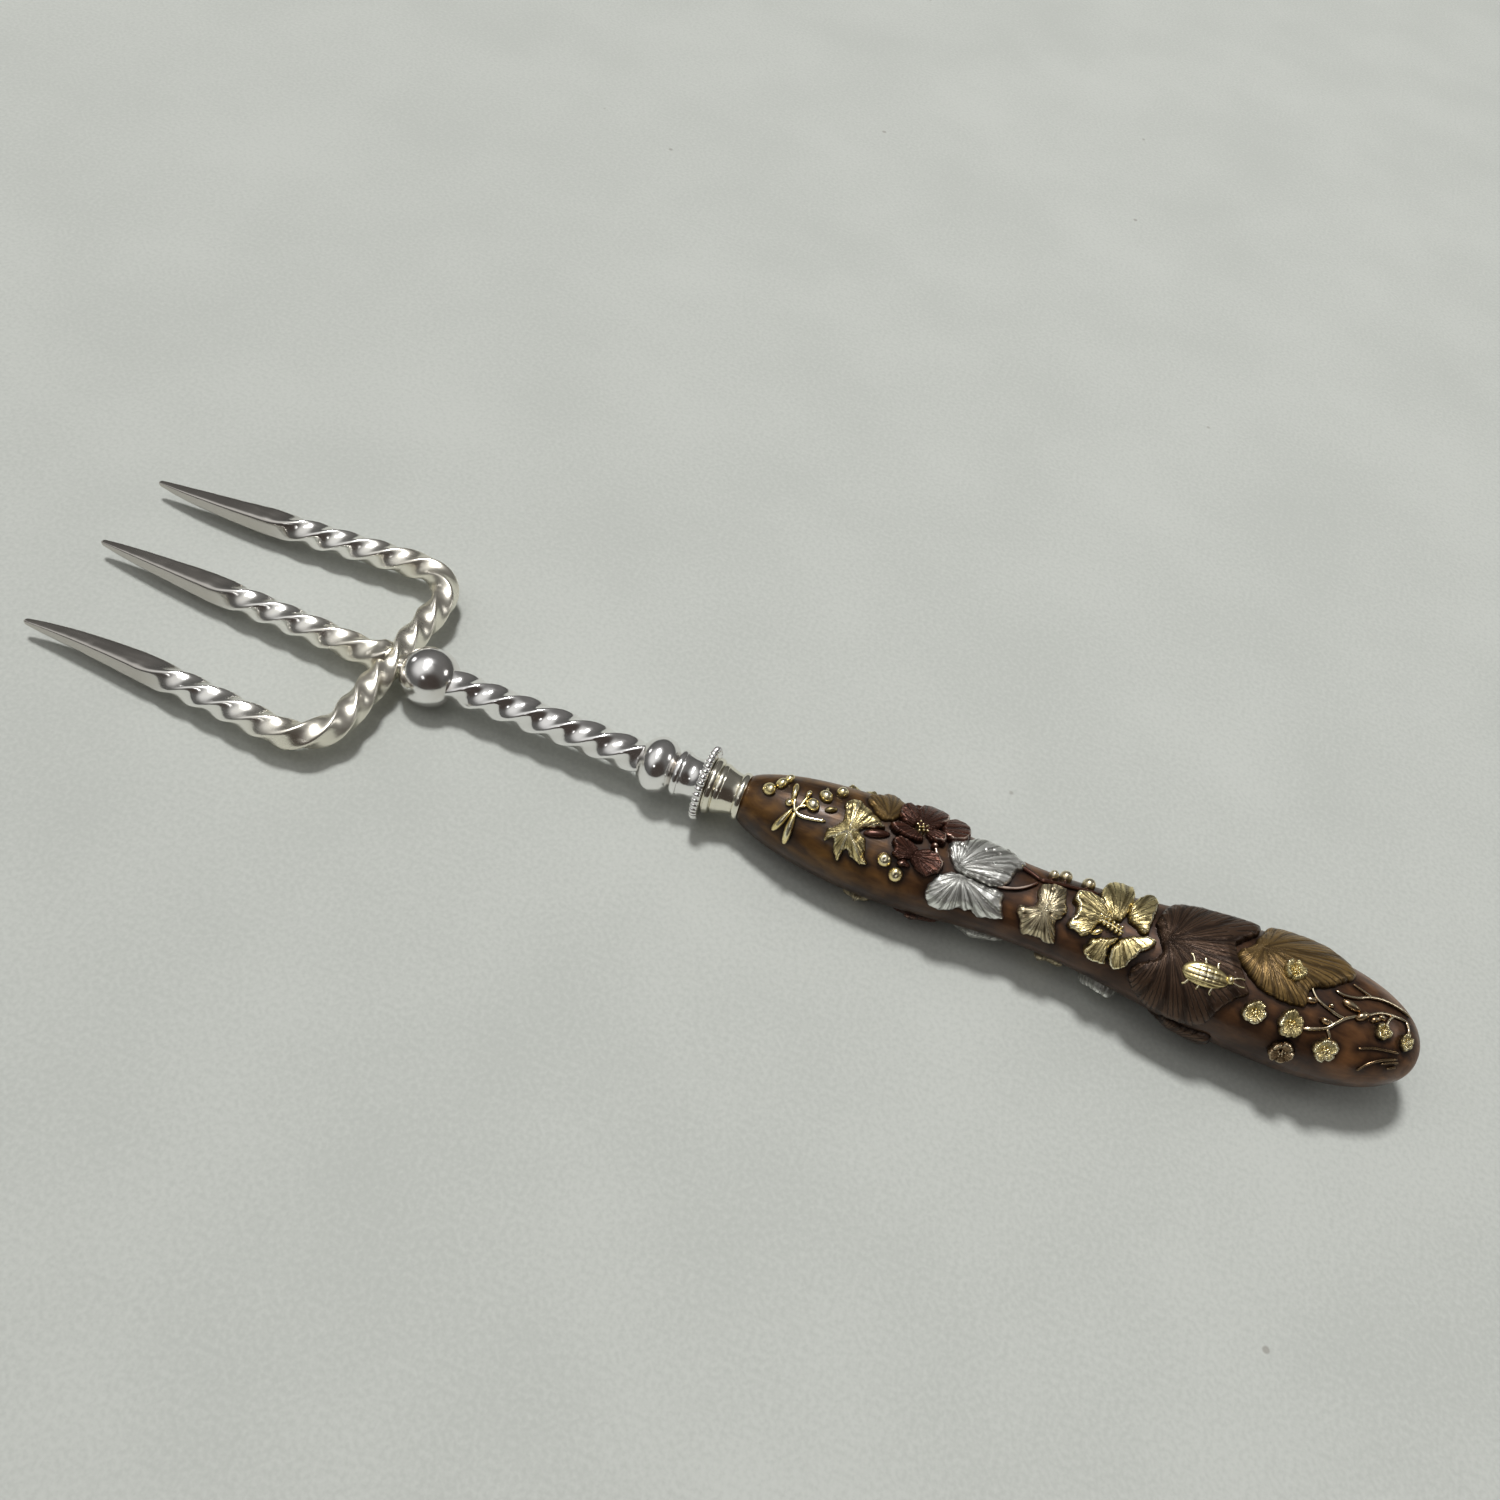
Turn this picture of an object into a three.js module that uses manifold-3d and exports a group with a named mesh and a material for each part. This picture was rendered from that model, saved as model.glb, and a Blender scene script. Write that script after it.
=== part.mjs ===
// A serving fork: twisted three-tine silver head, turned bolster and an ornamented hollow bronze handle.
// Millimetres. X runs along the fork with the tines towards -X, Y is sideways and Z is up.
// Round angles on the handle are degrees from its top, growing towards the near side (-Y).
import * as THREE from 'three';
import { mergeVertices } from 'three/addons/utils/BufferGeometryUtils.js';
import Module from 'manifold-3d';

const wasm = await Module();
wasm.setup();

// Clearances
const JOINT_GAP = 0.15;
const BORE_CLEARANCE = 0.2;
const SEAT_GAP = 0.25;
const ORNAMENT_GAP = 0.3;

// Turned bolster, from the beaded collar (its middle is the fork's zero) towards the tines
const COLLAR_RADIUS = 5.75;
const COLLAR_THICKNESS = 1.1;
const BEAD_COUNT = 36;
const BEAD_DEPTH = 0.3;
const REEL_LENGTH = 3.9;
const REEL_RING_RADIUS = 3.7;
const REEL_NECK_RADIUS = 3.1;
const UPPER_KNOP_RADIUS = 4.35;
const UPPER_KNOP_LENGTH = 5.6;
const SHANK_LENGTH = 30.7;
const LOWER_KNOP_RADIUS = 4.65;
const LOWER_KNOP_LENGTH = 7.9;
const YOKE_NECK_RADIUS = 1.8;
const YOKE_NECK_LENGTH = 0.7;

// Ferrule, from the collar towards the handle
const FERRULE_LENGTH = 5.5;
const FERRULE_RING_RADIUS = 4.35;
const FERRULE_COVE_RADIUS = 3.15;
const FERRULE_END_RADIUS = 3.7;

// Twisted bars: half the diagonal of the square, half the width of its hollowed faces, and a quarter turn
const TINE_CORNER = 2.3;
const TINE_FACE = 1.5;
const SHANK_CORNER = 2.7;
const SHANK_FACE = 1.75;
const QUARTER_TURN = 5.3;
const TIP_SHARE = 0.05;

// Tines and yoke
const TINE_REACH = 51.5;
const SPIKE_LENGTH = 20;
const TIP_SPREAD = 17.1;
const SPIKE_SPREAD = 16.3;
const SHOULDER_SPREAD = 18.2;
const ROOT_SPREAD = 19.4;
const BEND_RADIUS = 6.6;
const YOKE_SLANT = 1.4;
const YOKE_OFFSET = 0.6;
const YOKE_SEAT = 1.45;
const CENTRE_TINE_LEAN = THREE.MathUtils.degToRad(2);
const TENON_RADIUS = 0.9;
const SPIGOT_RADIUS = 1.5;
const SPIGOT_LENGTH = 3.2;

// Hollow handle: half widths at its stations, the lengths between them and its flatness
const NECK_HALF_WIDTH = 3.5;
const SHOULDER_HALF_WIDTH = 7.85;
const WAIST_HALF_WIDTH = 6.2;
const BULB_HALF_WIDTH = 9.6;
const SHOULDER_LENGTH = 20.8;
const WAIST_LENGTH = 24;
const BULB_LENGTH = 37;
const BUTT_LENGTH = 19.8;
const HANDLE_FLATNESS = 0.8;
const BUTT_SQUARENESS = 2.25;
const NECK_SLOPE = 1.8;
const SHOULDER_ROUNDNESS = 0.8;
const SHELL_WALL = 0.9;
const BUTT_WALL = 3.5;
const FILLING_GAP = 0.3;
const TANG_RADIUS = 1.6;
const TANG_LENGTH = 70;

// Ornament
const LEAF_EDGE = 0.5;
const FAR_EDGE = 0.95;
const LEAF_CROWN = 0.3;
const PETAL_CROWN = 0.7;
const BUD_EDGE = 0.3;
const STEM_RADIUS = 0.3;
const STEM_SIDES = 5;
const REST_EDGE = 0.9;
const REST_CROWN = 0.25;
const REST_WEAR = 0.3;

// Stations along the axis
const collarFace = COLLAR_THICKNESS / 2;
const reelEnd = -collarFace - JOINT_GAP;
const reelStart = reelEnd - REEL_LENGTH;
const upperKnopEnd = reelStart - JOINT_GAP;
const upperKnopStart = upperKnopEnd - UPPER_KNOP_LENGTH;
const shankEnd = upperKnopStart - JOINT_GAP;
const shankStart = shankEnd - SHANK_LENGTH;
const lowerKnopEnd = shankStart - JOINT_GAP;
const lowerKnopStart = lowerKnopEnd - LOWER_KNOP_LENGTH;
const lowerKnopMiddle = (lowerKnopStart + lowerKnopEnd) / 2;
const yokeNeckEnd = lowerKnopStart - JOINT_GAP;
const yokeNeckStart = yokeNeckEnd - YOKE_NECK_LENGTH;
const yokeMiddle = yokeNeckStart - JOINT_GAP - YOKE_SEAT;
const tineTip = yokeMiddle - TINE_REACH;
const ferruleStart = collarFace + JOINT_GAP;
const ferruleEnd = ferruleStart + FERRULE_LENGTH;
const neck = ferruleEnd + JOINT_GAP;
const shoulder = neck + SHOULDER_LENGTH;
const waist = shoulder + WAIST_LENGTH;
const bulb = waist + BULB_LENGTH;
const butt = bulb + BUTT_LENGTH;

// Metals
const SILVER = { color: 0xc9c8c2, roughness: 0.2, metalness: 1 };
const GILT_SILVER = { color: 0xc8bd9f, roughness: 0.25, metalness: 1 };
const BRASS = { color: 0xa08a50, roughness: 0.5, metalness: 1 };
const BRONZE = { color: 0x4a3022, roughness: 0.45, metalness: 1 };
const LEAF_BRONZE = { color: 0x57443a, roughness: 0.4, metalness: 1 };
const COPPER = { color: 0x7d5347, roughness: 0.35, metalness: 1 };
const GOLD = { color: 0xb39a55, roughness: 0.3, metalness: 1 };
const PALE_GOLD = { color: 0xb3a682, roughness: 0.3, metalness: 1 };
const CEMENT = { color: 0x6b6358, roughness: 0.9, metalness: 0 };

const fork = new THREE.Group();

function signedVolume(geometry) {
  const spots = geometry.getAttribute('position');
  const order = geometry.index.array;
  const a = new THREE.Vector3();
  const b = new THREE.Vector3();
  const c = new THREE.Vector3();
  let sum = 0;
  for (let i = 0; i < order.length; i += 3) {
    a.fromBufferAttribute(spots, order[i]);
    b.fromBufferAttribute(spots, order[i + 1]);
    c.fromBufferAttribute(spots, order[i + 2]);
    sum += a.dot(b.cross(c));
  }
  return sum / 6;
}

// A closed geometry with shared vertices whose triangles face out
function facingOut(geometry) {
  geometry.deleteAttribute('normal');
  geometry.deleteAttribute('uv');
  const merged = mergeVertices(geometry, 1e-4);
  if (signedVolume(merged) < 0) {
    const order = merged.index.array;
    for (let i = 0; i < order.length; i += 3) {
      [order[i + 1], order[i + 2]] = [order[i + 2], order[i + 1]];
    }
  }
  return merged;
}

function solid(geometry) {
  const closed = facingOut(geometry);
  const vertProperties = Float32Array.from(closed.getAttribute('position').array);
  const triVerts = Uint32Array.from(closed.index.array);
  return new wasm.Manifold(new wasm.Mesh({ numProp: 3, vertProperties, triVerts }));
}

function fromSolid(body) {
  const mesh = body.getMesh();
  const geometry = new THREE.BufferGeometry();
  geometry.setAttribute('position', new THREE.BufferAttribute(mesh.vertProperties, 3));
  geometry.setIndex(new THREE.BufferAttribute(mesh.triVerts, 1));
  return geometry;
}

function joined(geometries) {
  return fromSolid(wasm.Manifold.union(geometries.map(solid)));
}

function addPiece(name, geometry, finish) {
  const closed = facingOut(geometry);
  closed.computeVertexNormals();
  const piece = new THREE.Mesh(closed, new THREE.MeshStandardMaterial(finish));
  piece.name = name;
  fork.add(piece);
}

// Geometry through equal rings of points, closed at both ends by a fan round each ring's middle
function loft(rings) {
  const count = rings[0].length;
  const spots = rings.flat();
  const order = [];
  for (let row = 0; row + 1 < rings.length; row++) {
    for (let i = 0; i < count; i++) {
      const here = row * count + i;
      const next = row * count + (i + 1) % count;
      order.push(here, next, next + count, here, next + count, here + count);
    }
  }
  const middle = (ring) => ring.reduce((sum, spot) => sum.add(spot), new THREE.Vector3()).divideScalar(count);
  const first = spots.push(middle(rings[0])) - 1;
  const last = spots.push(middle(rings[rings.length - 1])) - 1;
  const lastRow = (rings.length - 1) * count;
  for (let i = 0; i < count; i++) {
    const next = (i + 1) % count;
    order.push(first, next, i, last, lastRow + i, lastRow + next);
  }
  const geometry = new THREE.BufferGeometry().setFromPoints(spots);
  geometry.setIndex(order);
  return geometry;
}

// A turned piece: its outline as points along the axis and out from it, with a round bore through it
const TURNED_SIDES = 24;
function turned(outline, bore) {
  const profile = outline.map(([along, out]) => new THREE.Vector2(out, along));
  profile.push(new THREE.Vector2(bore, outline[outline.length - 1][0]));
  profile.push(new THREE.Vector2(bore, outline[0][0]));
  profile.push(profile[0].clone());
  const geometry = new THREE.LatheGeometry(profile, TURNED_SIDES);
  geometry.rotateZ(-Math.PI / 2);
  return geometry;
}

// A ball's outline between two flats: an arc of an ellipse that is cut off at both ends
function ballOutline(start, end, radius, endShare) {
  const steps = 7;
  const middle = (start + end) / 2;
  const halfTurn = Math.acos(endShare);
  const reach = (end - start) / 2 / Math.sin(halfTurn);
  const outline = [];
  for (let i = 0; i <= steps; i++) {
    const angle = halfTurn * (2 * i / steps - 1);
    outline.push([middle + reach * Math.sin(angle), radius * Math.cos(angle)]);
  }
  return outline;
}

// One ring of a square bar with hollowed faces, turned about the bar's own line
function barRing(spot, tangent, turn, corner, face) {
  const up = new THREE.Vector3(0, 0, 1);
  const side = new THREE.Vector3().crossVectors(tangent, up);
  const ring = [];
  for (let i = 0; i < 8; i++) {
    const angle = turn + i * Math.PI / 4;
    const out = i % 2 === 0 ? corner : face;
    const raised = spot.clone().addScaledVector(up, out * Math.cos(angle));
    ring.push(raised.addScaledVector(side, out * Math.sin(angle)));
  }
  return ring;
}

const STEPS_PER_QUARTER = 3;

// A twisted bar along a curve in the XY plane, with a plain pointed spike at either end that has one
function twistedBar(curve, corner, face, startSpike, endSpike, quarterTurns) {
  const length = curve.getLength();
  const places = [];
  const spikeSteps = 5;
  for (let i = 0; startSpike > 0 && i < spikeSteps; i++) {
    places.push(startSpike * i / spikeSteps);
  }
  const twistSteps = Math.round(quarterTurns * STEPS_PER_QUARTER);
  for (let i = 0; i <= twistSteps; i++) {
    places.push(startSpike + (length - startSpike - endSpike) * i / twistSteps);
  }
  for (let i = spikeSteps - 1; endSpike > 0 && i >= 0; i--) {
    places.push(length - endSpike * i / spikeSteps);
  }
  const twistLength = length - startSpike - endSpike;
  const rings = places.map((place) => {
    const twisted = Math.min(Math.max(place - startSpike, 0), twistLength);
    const turn = -quarterTurns * Math.PI / 2 * twisted / twistLength;
    const fromStart = startSpike > 0 ? place / startSpike : 1;
    const fromEnd = endSpike > 0 ? Math.max(0, length - place) / endSpike : 1;
    const size = Math.sqrt(TIP_SHARE + (1 - TIP_SHARE) * Math.min(1, fromStart, fromEnd));
    const along = Math.min(1, place / length);
    const spot = curve.getPointAt(along);
    const tangent = curve.getTangentAt(along);
    return barRing(spot, tangent, turn, corner * size, face * size);
  });
  return loft(rings);
}

function roundRod(start, end, radius) {
  const rod = new THREE.CylinderGeometry(radius, radius, end - start, TURNED_SIDES / 2);
  rod.rotateZ(-Math.PI / 2);
  rod.translate((start + end) / 2, 0, 0);
  return rod;
}

// Outer tines and yoke: one bar bent to a U by hand, so its far arm lies nearer the handle.
// It has a cross hole for the centre tine's tenon and a flat seat for the neck ring.
const ARC_HANDLE = 0.5523;
const tenonHole = TENON_RADIUS + BORE_CLEARANCE;

function yokeCurve() {
  const bendStart = yokeMiddle - BEND_RADIUS;
  const crossbarEnd = ROOT_SPREAD - BEND_RADIUS;
  const legLength = bendStart - tineTip;
  const pull = BEND_RADIUS * ARC_HANDLE;
  const spot = (x, y) => {
    const share = (x - tineTip) / TINE_REACH;
    return new THREE.Vector3(x + YOKE_SLANT * share * y / ROOT_SPREAD, y + YOKE_OFFSET * share, 0);
  };
  const leg = (side) => [
    spot(tineTip, side * TIP_SPREAD),
    spot(tineTip + legLength / 3, side * SPIKE_SPREAD),
    spot(bendStart - legLength / 3, side * SHOULDER_SPREAD),
    spot(bendStart, side * ROOT_SPREAD),
  ];
  const bend = (side) => [
    spot(bendStart, side * ROOT_SPREAD),
    spot(bendStart + pull, side * ROOT_SPREAD),
    spot(yokeMiddle, side * (crossbarEnd + pull)),
    spot(yokeMiddle, side * crossbarEnd),
  ];
  const path = new THREE.CurvePath();
  path.add(new THREE.CubicBezierCurve3(...leg(1)));
  path.add(new THREE.CubicBezierCurve3(...bend(1)));
  path.add(new THREE.LineCurve3(spot(yokeMiddle, crossbarEnd), spot(yokeMiddle, -crossbarEnd)));
  path.add(new THREE.CubicBezierCurve3(...bend(-1).reverse()));
  path.add(new THREE.CubicBezierCurve3(...leg(-1).reverse()));
  return path;
}

const uPath = yokeCurve();
const yokeQuarters = Math.round((uPath.getLength() - 2 * SPIKE_LENGTH) / QUARTER_TURN);
const yokeBar = twistedBar(uPath, TINE_CORNER, TINE_FACE, SPIKE_LENGTH, SPIKE_LENGTH, yokeQuarters);
const yokeHole = roundRod(yokeMiddle - 2 * TINE_CORNER, yokeMiddle + 2 * TINE_CORNER, tenonHole);
const neckSeat = roundRod(
  yokeMiddle + YOKE_SEAT,
  yokeMiddle + 2 * TINE_CORNER,
  YOKE_NECK_RADIUS + BORE_CLEARANCE,
);
const drilledYoke = solid(yokeBar).subtract(solid(yokeHole)).subtract(solid(neckSeat));
addPiece('outer_tines', fromSolid(drilledYoke), SILVER);

// Centre tine: leans a little to the far side, and its tenon goes through yoke and neck into the knop
const tineRoot = yokeMiddle - TINE_CORNER - ORNAMENT_GAP;
const centreLength = tineRoot - tineTip;
const centreTip = new THREE.Vector3(
  tineRoot - centreLength * Math.cos(CENTRE_TINE_LEAN),
  centreLength * Math.sin(CENTRE_TINE_LEAN),
  0,
);
const centreLine = new THREE.LineCurve3(centreTip, new THREE.Vector3(tineRoot, 0, 0));
const centreQuarters = (centreLength - SPIKE_LENGTH) / QUARTER_TURN;
const centreBar = twistedBar(centreLine, TINE_CORNER, TINE_FACE, SPIKE_LENGTH, 0, centreQuarters);
const tenonEnd = lowerKnopStart + LOWER_KNOP_LENGTH / 3;
const tenon = roundRod(tineRoot - TINE_CORNER, tenonEnd, TENON_RADIUS);
addPiece('centre_tine', joined([centreBar, tenon]), SILVER);

// Neck ring and lower knop
const neckRing = [
  [yokeNeckStart, YOKE_NECK_RADIUS * 0.85],
  [(yokeNeckStart + yokeNeckEnd) / 2, YOKE_NECK_RADIUS],
  [yokeNeckEnd, YOKE_NECK_RADIUS],
];
addPiece('yoke_neck', turned(neckRing, tenonHole), SILVER);
const KNOP_END_SHARE = 0.5;
const spigotHole = SPIGOT_RADIUS + BORE_CLEARANCE;
addPiece(
  'lower_knop',
  turned(ballOutline(lowerKnopStart, lowerKnopEnd, LOWER_KNOP_RADIUS, KNOP_END_SHARE), spigotHole),
  SILVER,
);

// Shank: a twisted bar between the knops, with a spigot into each
const shankLine = new THREE.LineCurve3(
  new THREE.Vector3(shankStart, 0, 0),
  new THREE.Vector3(shankEnd, 0, 0),
);
const shankQuarters = SHANK_LENGTH / QUARTER_TURN;
const shankBar = twistedBar(shankLine, SHANK_CORNER, SHANK_FACE, 0, 0, shankQuarters);
const lowerSpigot = roundRod(shankStart - SPIGOT_LENGTH, shankStart + SHANK_CORNER, SPIGOT_RADIUS);
const upperSpigot = roundRod(shankEnd - SHANK_CORNER, shankEnd + SPIGOT_LENGTH, SPIGOT_RADIUS);
addPiece('shank', joined([shankBar, lowerSpigot, upperSpigot]), SILVER);

// Upper knop, reel, beaded collar and ferrule, all bored for the tang
const tangHole = TANG_RADIUS + BORE_CLEARANCE;
addPiece(
  'upper_knop',
  turned(ballOutline(upperKnopStart, upperKnopEnd, UPPER_KNOP_RADIUS, KNOP_END_SHARE), tangHole),
  SILVER,
);

function reelOutline() {
  const ring = REEL_LENGTH / 4;
  const steps = 4;
  const outline = [
    [reelStart, REEL_RING_RADIUS - ring / 4],
    [reelStart + ring / 2, REEL_RING_RADIUS],
  ];
  for (let i = 0; i <= steps; i++) {
    const share = i / steps;
    const out = REEL_NECK_RADIUS + (REEL_RING_RADIUS - REEL_NECK_RADIUS) * (2 * share - 1) ** 2;
    outline.push([reelStart + ring + (REEL_LENGTH - ring) * share, out]);
  }
  return outline;
}
addPiece('reel', turned(reelOutline(), tangHole), SILVER);

// The collar's rim waves in and out once for each bead
function collarGeometry() {
  const sides = BEAD_COUNT * 2;
  const rows = [[-0.5, 0.9], [-0.25, 1], [0.25, 1], [0.5, 0.9]];
  const rings = rows.map(([along, out]) => {
    const ring = [];
    for (let i = 0; i < sides; i++) {
      const angle = 2 * Math.PI * i / sides;
      const bead = BEAD_DEPTH * (Math.cos(BEAD_COUNT * angle) - 1) / 2;
      const reach = (COLLAR_RADIUS + bead) * out;
      const x = along * COLLAR_THICKNESS;
      ring.push(new THREE.Vector3(x, reach * Math.cos(angle), reach * Math.sin(angle)));
    }
    return ring;
  });
  const hole = roundRod(-COLLAR_THICKNESS, COLLAR_THICKNESS, tangHole);
  return fromSolid(solid(loft(rings)).subtract(solid(hole)));
}
addPiece('beaded_collar', collarGeometry(), SILVER);

function ferruleOutline() {
  const ringWidth = FERRULE_LENGTH / 5;
  const coveEnd = ferruleEnd - ringWidth;
  const coveStart = ferruleStart + 2 * ringWidth;
  const coveTop = (FERRULE_RING_RADIUS + FERRULE_COVE_RADIUS) / 2;
  const steps = 5;
  const outline = [
    [ferruleStart, FERRULE_RING_RADIUS - ringWidth / 4],
    [ferruleStart + ringWidth / 3, FERRULE_RING_RADIUS],
    [ferruleStart + ringWidth, FERRULE_RING_RADIUS],
    [ferruleStart + ringWidth, coveTop],
    [coveStart - ringWidth / 3, coveTop + ringWidth / 4],
  ];
  for (let i = 0; i <= steps; i++) {
    const fall = Math.sin(Math.PI / 2 * i / steps);
    const out = coveTop + (FERRULE_COVE_RADIUS - coveTop) * fall;
    outline.push([coveStart + (coveEnd - coveStart) * i / steps, out]);
  }
  outline.push([coveEnd + ringWidth / 4, FERRULE_END_RADIUS]);
  outline.push([ferruleEnd, FERRULE_END_RADIUS]);
  return outline;
}
addPiece('ferrule', turned(ferruleOutline(), tangHole), GILT_SILVER);

const tangStart = shankEnd + SPIGOT_LENGTH + JOINT_GAP;
const tangEnd = tangStart + TANG_LENGTH;
addPiece('tang', roundRod(tangStart, tangEnd, TANG_RADIUS), BRASS);

// The handle's outline: half its width at a place along the axis, and how flat it is there
function blend(from, to, share) {
  return from + (to - from) * (1 - Math.cos(Math.PI * share)) / 2;
}

function handleHalfWidth(x) {
  if (x <= shoulder) {
    const back = (shoulder - x) / SHOULDER_LENGTH;
    const rise = Math.max(0, 1 - Math.min(1, back) ** NECK_SLOPE) ** SHOULDER_ROUNDNESS;
    return NECK_HALF_WIDTH + (SHOULDER_HALF_WIDTH - NECK_HALF_WIDTH) * rise;
  }
  if (x <= waist) {
    return blend(SHOULDER_HALF_WIDTH, WAIST_HALF_WIDTH, (x - shoulder) / WAIST_LENGTH);
  }
  if (x <= bulb) {
    return blend(WAIST_HALF_WIDTH, BULB_HALF_WIDTH, (x - waist) / BULB_LENGTH);
  }
  const past = Math.min(1, (x - bulb) / BUTT_LENGTH);
  return BULB_HALF_WIDTH * (1 - past ** BUTT_SQUARENESS) ** (1 / BUTT_SQUARENESS);
}

function handleFlatness(x) {
  const share = Math.min(1, Math.max(0, (x - neck) / SHOULDER_LENGTH));
  return blend(1, HANDLE_FLATNESS, share);
}

// A point on the handle, or lifted off it along the normal of its cross-section
function handlePoint(x, round, lift) {
  const angle = THREE.MathUtils.degToRad(round);
  const wide = handleHalfWidth(x);
  const deep = wide * handleFlatness(x);
  const normal = new THREE.Vector2(-Math.sin(angle) / wide, Math.cos(angle) / deep).normalize();
  return new THREE.Vector3(
    x,
    -wide * Math.sin(angle) + lift * normal.x,
    deep * Math.cos(angle) + lift * normal.y,
  );
}

// Millimetres round the handle for each degree
function millimetresPerDegree(x, round) {
  return handlePoint(x, round + 0.5, 0).distanceTo(handlePoint(x, round - 0.5, 0));
}

// The handle's body, or one inside it, between two places along the axis
const HANDLE_SIDES = 24;
function handleBody(start, end, lift) {
  const steps = 15;
  const endSteps = 7;
  const places = [];
  for (let row = 0; row < steps; row++) {
    const share = (row / steps + 1 - Math.cos(Math.PI / 2 * row / steps)) / 2;
    places.push(start + (bulb - start) * share);
  }
  for (let row = 0; row <= endSteps; row++) {
    places.push(bulb + (end - bulb) * Math.sin(Math.PI / 2 * row / endSteps));
  }
  const rings = places.map((x) => {
    const ring = [];
    for (let i = 0; i < HANDLE_SIDES; i++) {
      ring.push(handlePoint(x, 360 * i / HANDLE_SIDES, lift));
    }
    return ring;
  });
  return solid(loft(rings));
}

const BUTT_TRIM = 0.1;
const cavityEnd = butt - BUTT_WALL;
const handleOuter = handleBody(neck, butt - BUTT_TRIM, 0);
const mouth = solid(roundRod(neck - SHELL_WALL, neck + SHELL_WALL, NECK_HALF_WIDTH - SHELL_WALL));
const cavity = handleBody(neck + SHELL_WALL / 2, cavityEnd, -SHELL_WALL).add(mouth);
const handleShell = handleOuter.subtract(cavity);
const halfSpace = (side) => {
  const box = new THREE.BoxGeometry(butt, 4 * BULB_HALF_WIDTH, 2 * BULB_HALF_WIDTH);
  box.translate(neck + butt / 2 - JOINT_GAP, 0, side * (BULB_HALF_WIDTH + JOINT_GAP / 2));
  return solid(box);
};
addPiece('handle_upper_shell', fromSolid(handleShell.intersect(halfSpace(1))), BRONZE);
addPiece('handle_lower_shell', fromSolid(handleShell.intersect(halfSpace(-1))), BRONZE);
const fillingStart = neck + 2 * SHELL_WALL;
const filling = handleBody(fillingStart, cavityEnd - FILLING_GAP, -SHELL_WALL - FILLING_GAP);
const tangSocket = solid(roundRod(neck, tangEnd + FILLING_GAP, tangHole));
addPiece('handle_filling', fromSolid(filling.subtract(tangSocket)), CEMENT);

// Ornament outlines: lobes at chosen directions, with the outline drawn in between neighbours
const LOBE_FORMS = {
  round: (share) => Math.sin(share * Math.PI / 2),
  soft: (share) => (1 - Math.cos(share * Math.PI)) / 2,
  pointed: (share) => share ** 1.5,
};

// Directions are degrees from the butt's side towards the near side; reaches are millimetres.
// A lobe may give its own cut towards the next one.
function lobedOutline(lobes, cut, form, steps) {
  const outline = [];
  lobes.forEach(([direction, reach, ownCut = cut], i) => {
    const [nextDirection, nextReach] = lobes[(i + 1) % lobes.length];
    const turn = (nextDirection - direction + 360) % 360;
    const valley = ownCut * Math.min(reach, nextReach);
    for (let step = 0; step < steps; step++) {
      const share = step / steps;
      const tip = share < 0.5 ? reach : nextReach;
      const nearness = Math.abs(1 - 2 * share);
      const out = valley + (tip - valley) * LOBE_FORMS[form](nearness);
      outline.push([THREE.MathUtils.degToRad(direction + turn * share), out]);
    }
  });
  return outline;
}

function ovalOutline(long, wide, slant, steps) {
  const outline = [];
  const tilt = THREE.MathUtils.degToRad(slant);
  for (let step = 0; step < steps; step++) {
    const angle = 2 * Math.PI * step / steps;
    const along = long / 2 * Math.cos(angle);
    const across = wide / 2 * Math.sin(angle);
    outline.push([Math.atan2(across, along) + tilt, Math.hypot(along, across)]);
  }
  return outline;
}

// Ornament is drawn on a sheet from the neck to the butt, which stretches with the handle's own lengths
const DRAWN_STATIONS = [0, 20.8, 44.8, 81.8, 101.6];
const handleStations = [neck, shoulder, waist, bulb, butt];
function onHandle(drawn) {
  let zone = 0;
  while (zone < 3 && drawn > DRAWN_STATIONS[zone + 1]) {
    zone += 1;
  }
  const share = (drawn - DRAWN_STATIONS[zone]) / (DRAWN_STATIONS[zone + 1] - DRAWN_STATIONS[zone]);
  return handleStations[zone] + (handleStations[zone + 1] - handleStations[zone]) * share;
}

// A thin cast piece that follows the handle: flat seat below, raised face above
function casting({ x, round, outline, edge, crown, rows, seat = SEAT_GAP }) {
  const perDegree = millimetresPerDegree(onHandle(x), round);
  const count = outline.length;
  const spots = [];
  const order = [];
  const addFace = (lifts) => {
    const first = spots.length;
    for (let row = 0; row < rows; row++) {
      const share = 1 - row / rows;
      outline.forEach(([direction, reach]) => {
        const along = onHandle(x + share * reach * Math.cos(direction));
        const about = round + share * reach * Math.sin(direction) / perDegree;
        spots.push(handlePoint(along, about, lifts(share)));
      });
    }
    spots.push(handlePoint(onHandle(x), round, lifts(0)));
    return first;
  };
  const addTriangles = (first, flip) => {
    const add = (a, b, c) => (flip ? order.push(a, c, b) : order.push(a, b, c));
    for (let row = 0; row < rows; row++) {
      for (let i = 0; i < count; i++) {
        const here = first + row * count + i;
        const next = first + row * count + (i + 1) % count;
        if (row === rows - 1) {
          add(here, next, first + rows * count);
        } else {
          add(here, next, next + count);
          add(here, next + count, here + count);
        }
      }
    }
  };
  const face = addFace((share) => seat + edge + crown * (1 - share * share));
  const back = addFace(() => seat);
  addTriangles(face, false);
  addTriangles(back, true);
  for (let i = 0; i < count; i++) {
    const next = (i + 1) % count;
    order.push(face + next, face + i, back + i, face + next, back + i, back + next);
  }
  const geometry = new THREE.BufferGeometry().setFromPoints(spots);
  geometry.setIndex(order);
  return geometry;
}

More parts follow.
